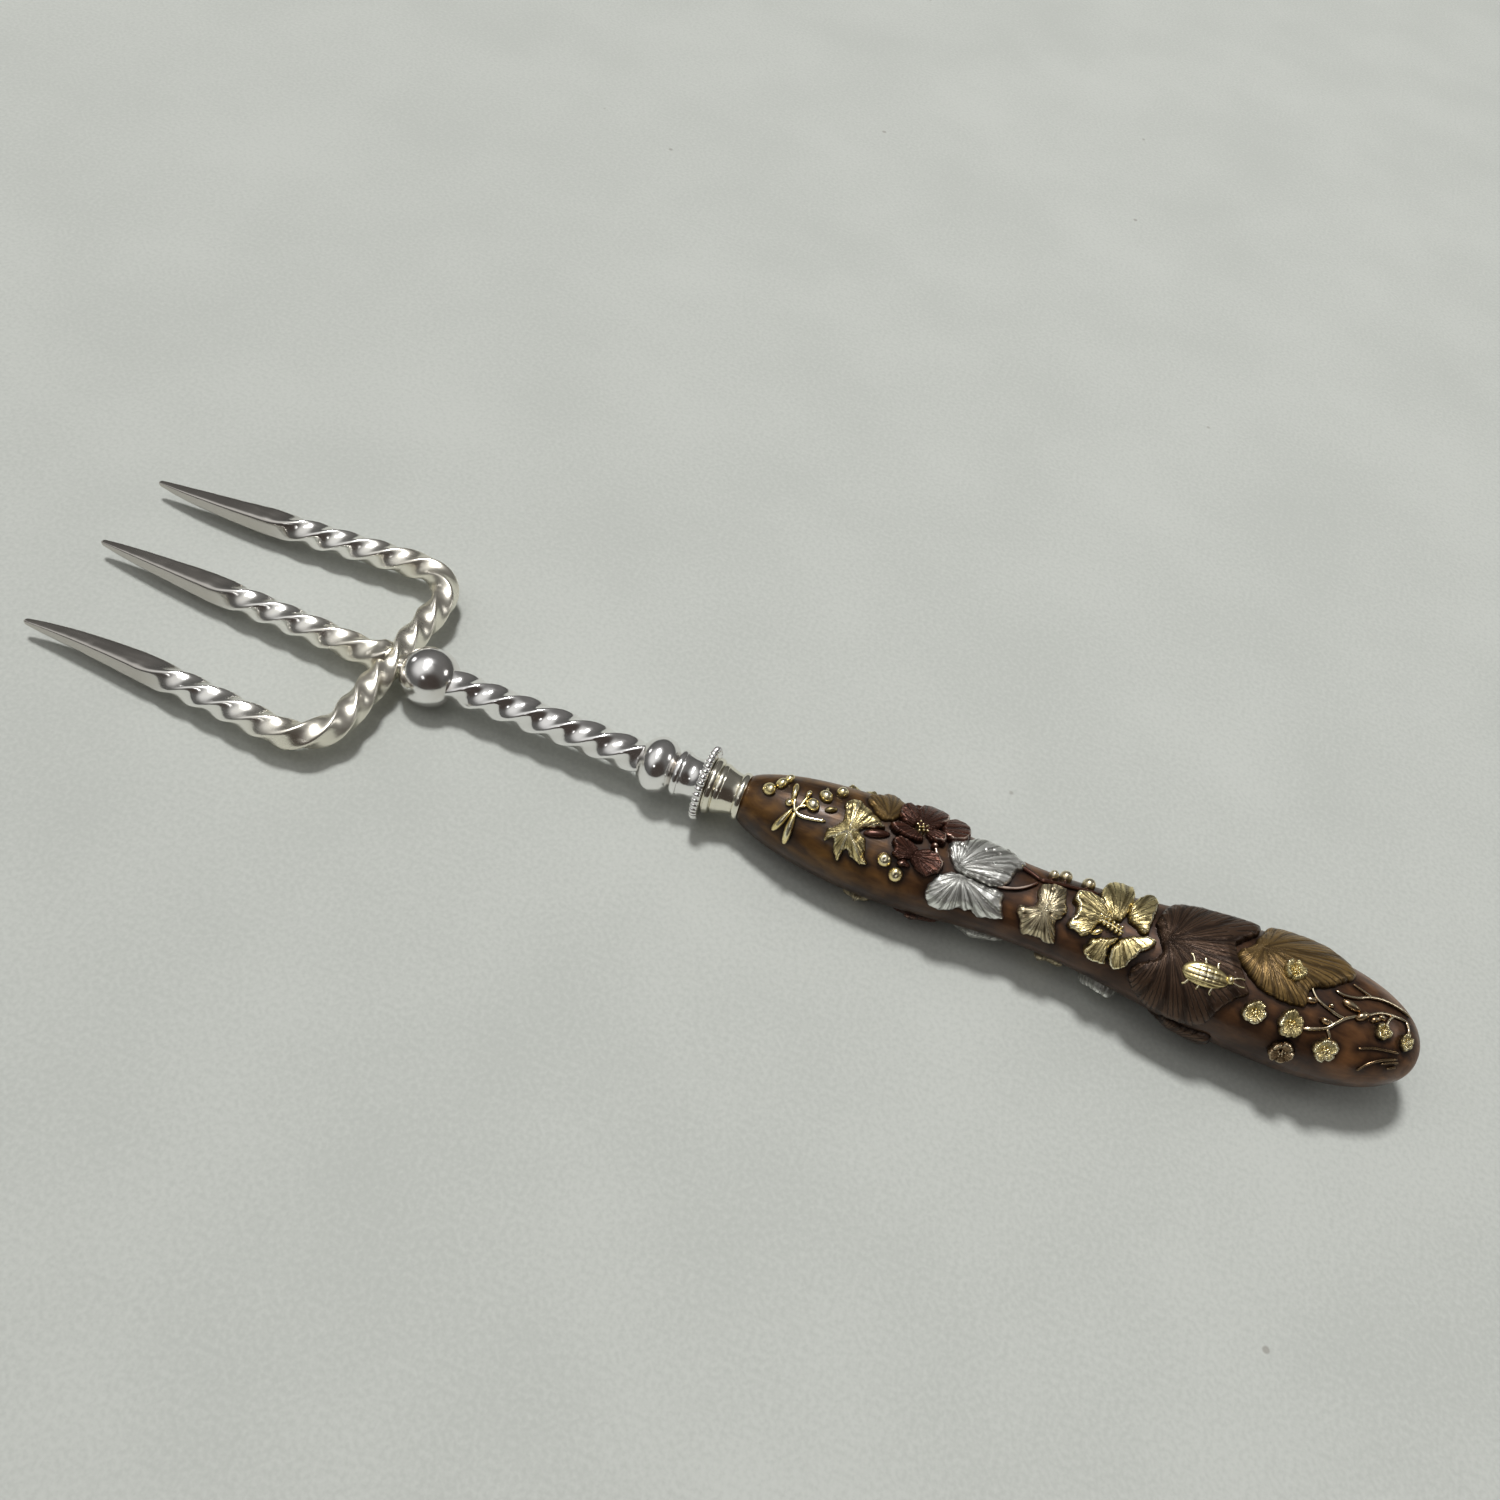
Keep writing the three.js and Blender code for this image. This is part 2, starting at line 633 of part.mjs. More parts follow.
function leafShape({ x, round, lobes, cut = 0.6, form = 'soft', steps = 4, rows = 3, ...rest }) {
  const outline = lobedOutline(lobes, cut, form, steps);
  return casting({ x, round, outline, edge: LEAF_EDGE, crown: LEAF_CROWN, rows, ...rest });
}

function blossomShape({ x, round, petals, radius, cut = 0.6, turn = 0, ...rest }) {
  const lobes = [];
  for (let i = 0; i < petals; i++) {
    lobes.push([turn + 360 * i / petals, radius]);
  }
  const outline = lobedOutline(lobes, cut, 'round', 4);
  return casting({ x, round, outline, edge: LEAF_EDGE, crown: PETAL_CROWN, rows: 2, ...rest });
}

function budShape({ x, round, long, wide, slant = 0, ...rest }) {
  const outline = ovalOutline(long, wide, slant, 10);
  return casting({ x, round, outline, edge: BUD_EDGE, crown: wide / 2, rows: 2, ...rest });
}

// A thin stem that lies on the handle through places given as distance along and degrees round
function stemShape(places, radius = STEM_RADIUS) {
  const guide = new THREE.CatmullRomCurve3(places.map(([x, round]) => new THREE.Vector3(x, round, 0)));
  const steps = 3 * (places.length - 1);
  const lift = SEAT_GAP + radius;
  const at = (share) => guide.getPoint(Math.min(1, Math.max(0, share)));
  const rings = [];
  for (let step = 0; step <= steps; step++) {
    const place = at(step / steps);
    const before = at((step - 0.5) / steps);
    const after = at((step + 0.5) / steps);
    const middle = handlePoint(onHandle(place.x), place.y, lift);
    const normal = handlePoint(onHandle(place.x), place.y, lift + 1).sub(middle);
    const behind = handlePoint(onHandle(before.x), before.y, lift);
    const tangent = handlePoint(onHandle(after.x), after.y, lift).sub(behind).normalize();
    const side = new THREE.Vector3().crossVectors(tangent, normal).normalize();
    const ring = [];
    for (let i = 0; i < STEM_SIDES; i++) {
      const angle = 2 * Math.PI * i / STEM_SIDES;
      const out = normal.clone().multiplyScalar(radius * Math.cos(angle));
      ring.push(middle.clone().add(out).addScaledVector(side, radius * Math.sin(angle)));
    }
    rings.push(ring);
  }
  return loft(rings);
}

// Buds and sprig between the ferrule and the gold leaf
addPiece('seed_bud_front', budShape({ x: 3.4, round: 9, long: 2, wide: 1.6 }), GOLD);
addPiece('seed_bud_back', budShape({ x: 5.1, round: -11, long: 3, wide: 1.6, slant: -70 }), GOLD);
const sprigRoot = [8.1, 29];
addPiece('bud_sprig', joined([
  stemShape([sprigRoot, [10.4, 28], [12.6, 25.5]]),
  stemShape([sprigRoot, [8.5, 19], [10, 13]]),
  stemShape([sprigRoot, [7.6, 21], [7.2, 8]]),
  stemShape([[7.8, 23], [6.9, 20]]),
  stemShape([[8.4, 20], [8.9, 4]]),
  budShape({ x: 6.8, round: 43, long: 4.2, wide: 1, slant: 124 }),
  budShape({ x: 8.2, round: 51, long: 5, wide: 1.15, slant: 91 }),
  budShape({ x: 7.1, round: 4, long: 3, wide: 0.9, slant: 75 }),
  budShape({ x: 6.6, round: 19.5, long: 1.2, wide: 1.1 }),
  budShape({ x: 8.95, round: 1.5, long: 1.5, wide: 0.9, slant: 105 }),
  budShape({ x: 10.4, round: 12, long: 2, wide: 1.7 }),
]), GOLD);
addPiece('sprig_berry', budShape({ x: 11.5, round: -6, long: 2, wide: 1.7 }), GOLD);
addPiece('sprig_bud_far', budShape({ x: 13.4, round: -24, long: 2, wide: 1.7 }), GOLD);

// Leaves and blossoms round the shoulder
addPiece('gold_ivy_leaf', leafShape({
  x: 16.4,
  round: 22,
  lobes: [[-118, 4.6, 0.9], [-84, 4.5], [-28, 4.8], [42, 4.6], [95, 4.6], [157, 3.6]],
}), GOLD);
addPiece('brown_leaf_far', leafShape({
  x: 20.3,
  round: -27,
  lobes: [[-80, 3], [0, 2], [65, 2.7], [180, 2.4], [-115, 2.9]],
  cut: 0.75,
  edge: FAR_EDGE,
}), LEAF_BRONZE);
addPiece('dark_leaf_small', budShape({ x: 21.2, round: 15, long: 2, wide: 0.9, slant: -15 }), COPPER);
addPiece('copper_blossom_upper', leafShape({
  x: 26,
  round: -15,
  lobes: [[-137, 3.6], [-80, 4.6], [-30, 5.1], [14, 3.3], [95, 2.2], [152, 4.2]],
  form: 'round',
  edge: FAR_EDGE,
  crown: PETAL_CROWN,
}), COPPER);
addPiece('copper_blossom_lower', leafShape({
  x: 25.9,
  round: 25.5,
  lobes: [
    [-169, 3.3, 0.95],
    [-138, 2.6],
    [-70, 1.6],
    [-23, 3.1, 0.95],
    [8, 3.8, 0.95],
    [34, 3],
    [123, 1.9],
    [160, 2.8],
  ],
  cut: 0.7,
  form: 'round',
  crown: PETAL_CROWN,
}), COPPER);
addPiece('gold_berry_1', budShape({ x: 22.4, round: 39.5, long: 2, wide: 1.9 }), GOLD);
addPiece('gold_berry_2', budShape({ x: 24.4, round: 51, long: 2, wide: 2 }), GOLD);

// Silver leaves, tendril and berries between shoulder and waist
addPiece('silver_leaf_upper', leafShape({
  x: 35.4,
  round: -8,
  lobes: [[-127, 4.3], [-95, 5.2], [-50, 5.4], [10, 4.6], [40, 4.1], [125, 4.1], [166, 5.2], [-158, 4.1]],
  cut: 0.9,
}), SILVER);
addPiece('silver_leaf_lower', leafShape({
  x: 34.8,
  round: 50,
  lobes: [[-156, 4.4], [-93, 2.6], [-33, 3.8], [5, 5.9], [35, 3.9], [95, 3.1], [141, 4.7], [177, 5.4]],
  cut: 0.9,
}), SILVER);
addPiece('copper_tendril', stemShape([
  [38.9, 22],
  [40.4, 17],
  [41.6, 10],
  [42.6, 1],
  [43.2, -6],
]), COPPER);
addPiece('berry_stem', stemShape([
  [42.2, -24],
  [44.3, -19],
  [48.8, -23],
  [52, -25],
], 0.45), COPPER);
addPiece('stem_berry_1', budShape({ x: 46.3, round: -37, long: 1.6, wide: 1.6 }), PALE_GOLD);
addPiece('stem_berry_2', budShape({ x: 48.1, round: -44, long: 1.8, wide: 1.8 }), PALE_GOLD);
addPiece('stem_berry_3', budShape({ x: 51, round: -42, long: 1.8, wide: 1.8 }), PALE_GOLD);

// Pale leaf and large blossom at the waist
addPiece('pale_ivy_leaf', leafShape({
  x: 46,
  round: 32,
  lobes: [[-112, 3.9], [-85, 4.8], [-47, 3.4], [6, 2.7], [62, 4.5], [121, 4.7], [175, 3.8]],
  cut: 0.78,
}), PALE_GOLD);
addPiece('gold_blossom', leafShape({
  x: 56,
  round: 18,
  lobes: [
    [-154, 6.6, 0.4],
    [-98, 7, 0.45],
    [-61, 6.4, 0.92],
    [-36, 5.8, 0.3],
    [4, 5.5, 0.92],
    [58, 5.3, 0.4],
    [110, 5, 0.45],
    [162, 6, 0.92],
    [-174, 6.5, 0.95],
  ],
  form: 'round',
  crown: PETAL_CROWN,
  steps: 5,
  rows: 4,
}), GOLD);

// Large leaves round the bulb, with the beetle and a blossom on them
const leafTop = SEAT_GAP + LEAF_EDGE + LEAF_CROWN;
addPiece('bronze_leaf_front', leafShape({
  x: 69,
  round: 18,
  lobes: [[-124, 9.2], [-87, 9.3], [-50, 8.8], [16, 6.1], [70, 8], [99, 9.4], [141, 9.4], [-163, 6.6]],
  cut: 0.82,
  steps: 5,
  rows: 4,
}), LEAF_BRONZE);
addPiece('bronze_leaf_back', leafShape({
  x: 81.7,
  round: -12,
  lobes: [
    [-124, 6],
    [-82, 7],
    [-39, 7.2],
    [-8, 7.3],
    [31, 4.6],
    [84, 5.6],
    [114, 6.9],
    [144, 7],
    [-175, 5.6],
  ],
  cut: 0.84,
  steps: 5,
}), LEAF_BRONZE);
addPiece('gold_beetle', budShape({
  x: 69.4,
  round: 32,
  long: 6.7,
  wide: 3,
  seat: leafTop + ORNAMENT_GAP,
}), GOLD);
addPiece('leaf_blossom', blossomShape({
  x: 80,
  round: 4,
  petals: 5,
  radius: 1.65,
  seat: leafTop + ORNAMENT_GAP,
}), GOLD);

// Small blossoms, twigs and reeds towards the butt
addPiece('plum_blossom_1', blossomShape({ x: 76.7, round: 47, petals: 5, radius: 1.7 }), GOLD);
addPiece('plum_blossom_2', blossomShape({ x: 81.5, round: 44, petals: 5, radius: 1.8, turn: 36 }), GOLD);
addPiece('plum_blossom_3', blossomShape({ x: 82, round: 72, petals: 5, radius: 1.6 }), GOLD);
addPiece('plum_blossom_4', blossomShape({ x: 87.1, round: 55, petals: 5, radius: 1.8, turn: 36 }), GOLD);
addPiece('tip_blossom_1', blossomShape({ x: 94, round: 21, petals: 5, radius: 1.25 }), GOLD);
addPiece('tip_blossom_2', blossomShape({ x: 97.9, round: 21, petals: 5, radius: 1.15, turn: 36 }), GOLD);
const twigFork = [88.3, 23];
const twigKnot = [91.3, 14.5];
addPiece('blossom_twig', joined([
  stemShape([[84.4, 20], [86.4, 21.5], twigFork]),
  stemShape([twigFork, [87.2, 30], [86.4, 38]]),
  stemShape([[86.6, 36.5], [85.4, 40]]),
  stemShape([[87.1, 30.5], [85.9, 31]]),
  stemShape([twigFork, [89.6, 17.5], twigKnot, [93, 7], [95, -1], [97, -6]]),
  stemShape([twigKnot, [89.8, 11.5], [88.6, 10.5]]),
  budShape({ x: 84.1, round: 20, long: 1.7, wide: 1.3 }),
  budShape({ x: 91.4, round: 15.5, long: 1.6, wide: 1.3 }),
  budShape({ x: 88.6, round: 10.3, long: 2.2, wide: 0.9, slant: 15 }),
  budShape({ x: 85.7, round: 31, long: 1.4, wide: 1.2 }),
]), PALE_GOLD);
addPiece('upper_twig', stemShape([
  [88.2, 3],
  [90.5, -5],
  [93.2, -12.5],
  [95.6, -17],
  [97.2, -19],
]), PALE_GOLD);
addPiece('reed_blade_1', stemShape([[91.4, 44], [93.6, 39.5], [97.2, 36.5]], 0.35), PALE_GOLD);
addPiece('reed_blade_2', joined([
  stemShape([[92.4, 66], [93.3, 56.5], [95.2, 48.5], [97.2, 45]], 0.35),
  stemShape([[92.8, 61], [95.4, 59], [97.6, 54]], 0.35),
]), PALE_GOLD);

// Ornament on the far side and underneath
addPiece('back_gold_leaf', leafShape({
  x: 15.8,
  round: -105,
  lobes: [[-90, 3.8], [-20, 3.6], [60, 4.2], [120, 4.2], [-160, 3.6]],
}), GOLD);
addPiece('back_copper_blossom', blossomShape({
  x: 26.4,
  round: -112,
  petals: 6,
  radius: 4,
  rows: 3,
}), COPPER);
addPiece('back_silver_leaf', leafShape({
  x: 38.8,
  round: -112,
  lobes: [[-90, 4], [0, 5], [90, 4], [150, 4.6], [-150, 4.6]],
  cut: 0.85,
}), SILVER);
addPiece('under_gilt_leaf', leafShape({
  x: 20.3,
  round: 140,
  lobes: [[-90, 3], [0, 2.4], [90, 3], [180, 2.4]],
}), PALE_GOLD);
addPiece('under_copper_leaf', leafShape({
  x: 29.2,
  round: 142,
  lobes: [[-110, 3.6], [0, 4], [110, 3.6], [180, 3.6]],
}), COPPER);
addPiece('under_silver_leaf', leafShape({
  x: 38.3,
  round: 145,
  lobes: [[-110, 3.4], [0, 4.4], [110, 3.4], [180, 3.4]],
  cut: 0.85,
}), SILVER);
addPiece('under_pale_leaf', leafShape({
  x: 49.2,
  round: 150,
  lobes: [[-120, 3.4], [-30, 3], [60, 3.4], [150, 3.4]],
}), PALE_GOLD);
addPiece('under_silver_blossom', blossomShape({
  x: 57.2,
  round: 148,
  petals: 5,
  radius: 3,
}), SILVER);
addPiece('back_bronze_leaf', leafShape({
  x: 70.3,
  round: -112,
  lobes: [[-110, 6], [-60, 6], [0, 6.4], [60, 6.4], [120, 6.4], [180, 5]],
  cut: 0.82,
  steps: 5,
}), LEAF_BRONZE);
addPiece('under_bronze_leaf', leafShape({
  x: 70,
  round: 142,
  lobes: [[-120, 5.4], [-60, 5.6], [0, 5.2], [70, 5.6], [120, 5.8], [180, 5]],
  cut: 0.82,
  steps: 5,
}), LEAF_BRONZE);
addPiece('back_plum_blossom', blossomShape({ x: 86.8, round: -98, petals: 5, radius: 2.2 }), GOLD);

// The fork lies on the lower knop and on the worn face of the rest leaf, so it tilts a little
const restDepth = BULB_HALF_WIDTH * HANDLE_FLATNESS + SEAT_GAP + REST_EDGE + REST_CROWN - REST_WEAR;
const restSpan = bulb - lowerKnopMiddle;
const restReach = Math.hypot(restDepth, restSpan);
const restTilt = Math.acos(LOWER_KNOP_RADIUS / restReach) - Math.atan2(restSpan, restDepth);
const restHeight = restDepth * Math.cos(restTilt) - bulb * Math.sin(restTilt);

function restLeaf() {
  const leaf = leafShape({
    x: 82.6,
    round: 180,
    lobes: [[-120, 6], [-60, 6.2], [0, 6.4], [60, 6.2], [120, 6], [180, 5.2]],
    cut: 0.85,
    edge: REST_EDGE,
    crown: REST_CROWN,
    steps: 5,
    rows: 4,
  });
  const table = new THREE.BoxGeometry(4 * BULB_LENGTH, 4 * BULB_HALF_WIDTH, 2 * BULB_HALF_WIDTH);
  table.translate(0, 0, -BULB_HALF_WIDTH);
  table.rotateY(restTilt);
  table.translate(bulb, 0, -restDepth);
  return fromSolid(solid(leaf).subtract(solid(table)));
}
addPiece('rest_leaf', restLeaf(), LEAF_BRONZE);

// Origin under the middle of the fork's box, on the surface that it lies on
fork.rotation.y = -restTilt;
fork.position.set(-(tineTip + butt) / 2 * Math.cos(restTilt), -YOKE_OFFSET, restHeight);

export default fork;
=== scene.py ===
"""Serving fork with twisted silver tines and a bronze handle covered in cast leaves and flowers.

Sizes are millimetres in the fork's own frame: x runs along its axis from the tines to the butt,
and the fork is then laid down on its lower knop and rest leaf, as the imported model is.
"""

import math

import bmesh
import bpy
import numpy as np
from mathutils import Matrix, Vector
from mathutils.geometry import delaunay_2d_cdt


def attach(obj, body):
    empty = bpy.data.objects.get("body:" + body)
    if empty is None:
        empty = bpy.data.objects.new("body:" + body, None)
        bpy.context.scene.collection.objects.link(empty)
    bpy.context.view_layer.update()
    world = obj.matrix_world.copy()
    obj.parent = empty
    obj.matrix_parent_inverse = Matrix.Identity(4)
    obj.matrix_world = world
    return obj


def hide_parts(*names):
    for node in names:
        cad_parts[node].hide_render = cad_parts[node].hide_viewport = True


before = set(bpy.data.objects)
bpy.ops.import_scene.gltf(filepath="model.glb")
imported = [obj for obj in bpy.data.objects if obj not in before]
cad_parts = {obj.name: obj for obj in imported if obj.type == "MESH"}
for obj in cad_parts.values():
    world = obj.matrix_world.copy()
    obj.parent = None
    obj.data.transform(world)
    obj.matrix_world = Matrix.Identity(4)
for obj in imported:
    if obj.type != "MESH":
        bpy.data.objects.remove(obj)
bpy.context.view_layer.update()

MM = 0.001

# Turned parts and joints, as in the part's source
JOINT_GAP = 0.15
SEAT_GAP = 0.25
COLLAR_RADIUS = 5.75
COLLAR_THICKNESS = 1.1
BEAD_COUNT = 36
BEAD_RADIUS = 0.44
REEL_LENGTH = 3.9
REEL_RING_RADIUS = 3.7
REEL_NECK_RADIUS = 3.1
UPPER_KNOP_RADIUS = 4.35
UPPER_KNOP_LENGTH = 5.6
SHANK_LENGTH = 30.7
LOWER_KNOP_RADIUS = 4.65
LOWER_KNOP_LENGTH = 7.9
YOKE_NECK_RADIUS = 1.8
YOKE_NECK_LENGTH = 0.7
FERRULE_LENGTH = 5.5
FERRULE_RING_RADIUS = 4.35
FERRULE_COVE_RADIUS = 3.15
FERRULE_END_RADIUS = 3.7

# Twisted bars
TINE_CORNER = 2.3
TINE_FACE = 1.5
SHANK_CORNER = 2.7
SHANK_FACE = 1.75
QUARTER_TURN = 5.3
TIP_SHARE = 0.05
TINE_REACH = 51.5
SPIKE_LENGTH = 20.0
TIP_SPREAD = 17.1
SPIKE_SPREAD = 16.3
SHOULDER_SPREAD = 18.2
ROOT_SPREAD = 19.4
BEND_RADIUS = 6.6
YOKE_SLANT = 1.4
YOKE_OFFSET = 0.6
YOKE_SEAT = 1.45
CENTRE_TINE_LEAN = math.radians(2)

# Handle
NECK_HALF_WIDTH = 3.5
SHOULDER_HALF_WIDTH = 7.85
WAIST_HALF_WIDTH = 6.2
BULB_HALF_WIDTH = 9.6
SHOULDER_LENGTH = 20.8
WAIST_LENGTH = 24.0
BULB_LENGTH = 37.0
BUTT_LENGTH = 19.8
HANDLE_FLATNESS = 0.8
BUTT_SQUARENESS = 2.25
NECK_SLOPE = 1.8
SHOULDER_ROUNDNESS = 0.8
SHELL_WALL = 0.9
BUTT_WALL = 3.5

# Ornament
LEAF_EDGE = 0.5
LEAF_CROWN = 0.3
REST_EDGE = 0.9
REST_CROWN = 0.25
REST_WEAR = 0.3

# Stations along the axis
collar_face = COLLAR_THICKNESS / 2
reel_end = -collar_face - JOINT_GAP
reel_start = reel_end - REEL_LENGTH
upper_knop_end = reel_start - JOINT_GAP
upper_knop_start = upper_knop_end - UPPER_KNOP_LENGTH
shank_end = upper_knop_start - JOINT_GAP
shank_start = shank_end - SHANK_LENGTH
lower_knop_end = shank_start - JOINT_GAP
lower_knop_start = lower_knop_end - LOWER_KNOP_LENGTH
lower_knop_middle = (lower_knop_start + lower_knop_end) / 2
yoke_neck_end = lower_knop_start - JOINT_GAP
yoke_neck_start = yoke_neck_end - YOKE_NECK_LENGTH
yoke_middle = yoke_neck_start - JOINT_GAP - YOKE_SEAT
tine_tip = yoke_middle - TINE_REACH
ferrule_start = collar_face + JOINT_GAP
ferrule_end = ferrule_start + FERRULE_LENGTH
neck = ferrule_end + JOINT_GAP
shoulder = neck + SHOULDER_LENGTH
waist = shoulder + WAIST_LENGTH
bulb = waist + BULB_LENGTH
butt = bulb + BUTT_LENGTH

# How the fork lies
rest_depth = BULB_HALF_WIDTH * HANDLE_FLATNESS + SEAT_GAP + REST_EDGE + REST_CROWN - REST_WEAR
rest_span = bulb - lower_knop_middle
rest_tilt = math.acos(LOWER_KNOP_RADIUS / math.hypot(rest_depth, rest_span))
rest_tilt -= math.atan2(rest_span, rest_depth)
rest_height = rest_depth * math.cos(rest_tilt) - bulb * math.sin(rest_tilt)
fork_middle = (tine_tip + butt) / 2 * math.cos(rest_tilt)
FORK_LAID = (
    Matrix.Translation(Vector((-fork_middle, -YOKE_OFFSET, rest_height)) * MM)
    @ Matrix.Rotation(-rest_tilt, 4, "Y")
    @ Matrix.Scale(MM, 4)
)


# Node trees

def add(tree, kind, inputs=None, **settings):
    """Adds a node, with its settings, and its inputs as values or links."""
    node = tree.nodes.new(kind)
    for name, value in settings.items():
        setattr(node, name, value)
    for name, value in (inputs or {}).items():
        if isinstance(value, bpy.types.NodeSocket):
            tree.links.new(value, node.inputs[name])
        else:
            node.inputs[name].default_value = value
    return node


def calc(tree, operation, *values, clamp=False):
    inputs = dict(enumerate(values))
    return add(tree, "ShaderNodeMath", inputs, operation=operation, use_clamp=clamp).outputs[0]


def span(tree, value, low, high, start=0.0, end=1.0):
    """Takes low..high to start..end, smoothly and without going past them."""
    inputs = {"Value": value, "From Min": low, "From Max": high, "To Min": start, "To Max": end}
    return add(tree, "ShaderNodeMapRange", inputs, interpolation_type="SMOOTHSTEP").outputs[0]


def mixed(tree, share, first, second):
    node = add(tree, "ShaderNodeMix", data_type="RGBA")
    for socket, value in zip((node.inputs[0], node.inputs[6], node.inputs[7]), (share, first, second)):
        if isinstance(value, bpy.types.NodeSocket):
            tree.links.new(value, socket)
        elif isinstance(value, tuple):
            socket.default_value = (*value, 1)
        else:
            socket.default_value = value
    return node.outputs[2]


def noise(tree, place, scale, detail=3.0, distortion=0.0):
    inputs = {"Vector": place, "Scale": scale, "Detail": detail, "Distortion": distortion}
    return add(tree, "ShaderNodeTexNoise", inputs).outputs["Fac"]


def weighted(tree, *terms):
    """The sum of values, each multiplied by its own weight."""
    total = None
    for value, weight in terms:
        part = calc(tree, "MULTIPLY", value, weight)
        total = part if total is None else calc(tree, "ADD", total, part)
    return total


def along_fork(tree, place):
    """How far along the fork a place lies."""
    return add(tree, "ShaderNodeSeparateXYZ", {0: place["Object"]}).outputs["X"]


SOCKETS = {
    "float": "NodeSocketFloat",
    "int": "NodeSocketInt",
    "vector": "NodeSocketVector",
    "colour": "NodeSocketColor",
    "geometry": "NodeSocketGeometry",
    "material": "NodeSocketMaterial",
}


def new_group(name, kind, inputs, outputs):
    """A node group with named sockets. Returns the tree, its input node and its output node."""
    tree = bpy.data.node_groups.new(name, kind)
    for label, form in inputs.items():
        tree.interface.new_socket(label, in_out="INPUT", socket_type=SOCKETS[form])
    for label, form in outputs.items():
        tree.interface.new_socket(label, in_out="OUTPUT", socket_type=SOCKETS[form])
    return tree, tree.nodes.new("NodeGroupInput").outputs, tree.nodes.new("NodeGroupOutput").inputs


def placed_group(tree, group, inputs):
    return add(tree, "ShaderNodeGroup", inputs, node_tree=group).outputs


# Shader groups: handling marks, chased lines and patina

def handling_group():
    """Fine scratches and cloudy finger marks of a metal that has been used and cleaned."""
    inputs = {"Place": "vector", "Scratch Scale": "float", "Cloud Scale": "float"}
    outputs = {"Scratch": "float", "Cloud": "float"}
    tree, given, out = new_group("handling_marks", "ShaderNodeTree", inputs, outputs)
    stretched = add(tree, "ShaderNodeMapping", {"Vector": given["Place"], "Scale": (0.25, 2.0, 1.4)})
    hairs = noise(tree, stretched.outputs[0], given["Scratch Scale"], 4.0, 0.6)
    clouds = noise(tree, given["Place"], given["Cloud Scale"], 3.0, 0.3)
    tree.links.new(span(tree, hairs, 0.35, 0.75), out["Scratch"])
    tree.links.new(span(tree, clouds, 0.3, 0.7), out["Cloud"])
    return tree


def chasing_group():
    """Lines cut with a graver, which fan out from the root of a leaf or petal."""
    inputs = {"Fan": "vector", "Lines": "float", "Wander": "float"}
    outputs = {"Groove": "float", "Relief": "float"}
    tree, given, out = new_group("chased_lines", "ShaderNodeTree", inputs, outputs)
    parts = add(tree, "ShaderNodeSeparateXYZ", {0: given["Fan"]}).outputs
    drift = noise(tree, given["Fan"], 2.2, 2.0)
    turn = calc(tree, "MULTIPLY", parts["X"], given["Lines"])
    sway = calc(tree, "MULTIPLY", drift, given["Wander"])
    wave = calc(tree, "SINE", calc(tree, "ADD", turn, sway))
    length = add(tree, "ShaderNodeMapping", {"Vector": given["Fan"], "Scale": (7.0, 0.4, 1.0)})
    strokes = noise(tree, length.outputs[0], 1.0, 1.0)
    cut = calc(tree, "MULTIPLY", span(tree, wave, 0.45, 1.0), span(tree, strokes, 0.30, 0.50))
    root = span(tree, parts["Y"], 0.2, 1.4)
    groove = calc(tree, "MULTIPLY", cut, root)
    tree.links.new(groove, out["Groove"])
    tree.links.new(calc(tree, "SUBTRACT", 1.0, groove), out["Relief"])
    return tree


def patina_group():
    """Dark in the hollows, from patina and from the painted shade that Hollow carries, and bare metal rubbed
    clean on the high places.
    """
    inputs = {
        "Metal": "colour",
        "Patina": "colour",
        "Bare": "colour",
        "Rub": "float",
        "Hollow": "float",
        "Mottle": "float",
        "Rub From": "float",
        "Hollow Depth": "float",
    }
    tree, given, out = new_group("patina", "ShaderNodeTree", inputs, {"Colour": "colour", "Rubbed": "float"})
    worn = calc(tree, "ADD", given["Rub"], calc(tree, "MULTIPLY", given["Mottle"], 0.3))
    rubbed = span(tree, worn, given["Rub From"], calc(tree, "ADD", given["Rub From"], 0.35))
    dark = calc(tree, "MULTIPLY", given["Hollow"], given["Hollow Depth"], clamp=True)
    ground = mixed(tree, dark, given["Metal"], given["Patina"])
    tree.links.new(mixed(tree, rubbed, ground, given["Bare"]), out["Colour"])
    tree.links.new(rubbed, out["Rubbed"])
    return tree


HANDLING = handling_group()
CHASING = chasing_group()
PATINA = patina_group()


# Materials

def new_material(name, **values):
    """A material with a Principled shader, whose plain values are set on its own sockets."""
    material = bpy.data.materials.new(name)
    material.use_nodes = True
    tree = material.node_tree
    shader = tree.nodes["Principled BSDF"]
    for label, value in values.items():
        shader.inputs[label.replace("_", " ")].default_value = value
    place = add(tree, "ShaderNodeTexCoord").outputs
    return material, tree, shader, place


def handling(tree, place, scratch_scale, cloud_scale):
    """The scratches and cloudy marks at a place."""
    inputs = {"Place": place["Object"], "Scratch Scale": scratch_scale, "Cloud Scale": cloud_scale}
    return placed_group(tree, HANDLING, inputs)


def attribute(tree, name):
    return add(tree, "ShaderNodeAttribute", attribute_name=name).outputs["Fac"]


def relief(tree, shader, height, strength, depth):
    """Surface detail. The depth is in millimetres."""
    bump = add(tree, "ShaderNodeBump", {"Height": height, "Strength": strength, "Distance": depth * MM})
    tree.links.new(bump.outputs["Normal"], shader.inputs["Normal"])


# Where the spikes begin to turn darker and warmer, and where that is full, in millimetres along the fork:
# partly tarnish, partly painted shade for the dark surroundings the spikes reflect
SPIKE_TARNISH_AND_SHADE_FROM = -76.0
SPIKE_TARNISH_AND_SHADE_TO = -86.0
SPIKE_TARNISH_AND_SHADE_COLOUR = (0.40, 0.36, 0.32)
SPIKE_TARNISH_AND_SHADE_SHARE = 0.65


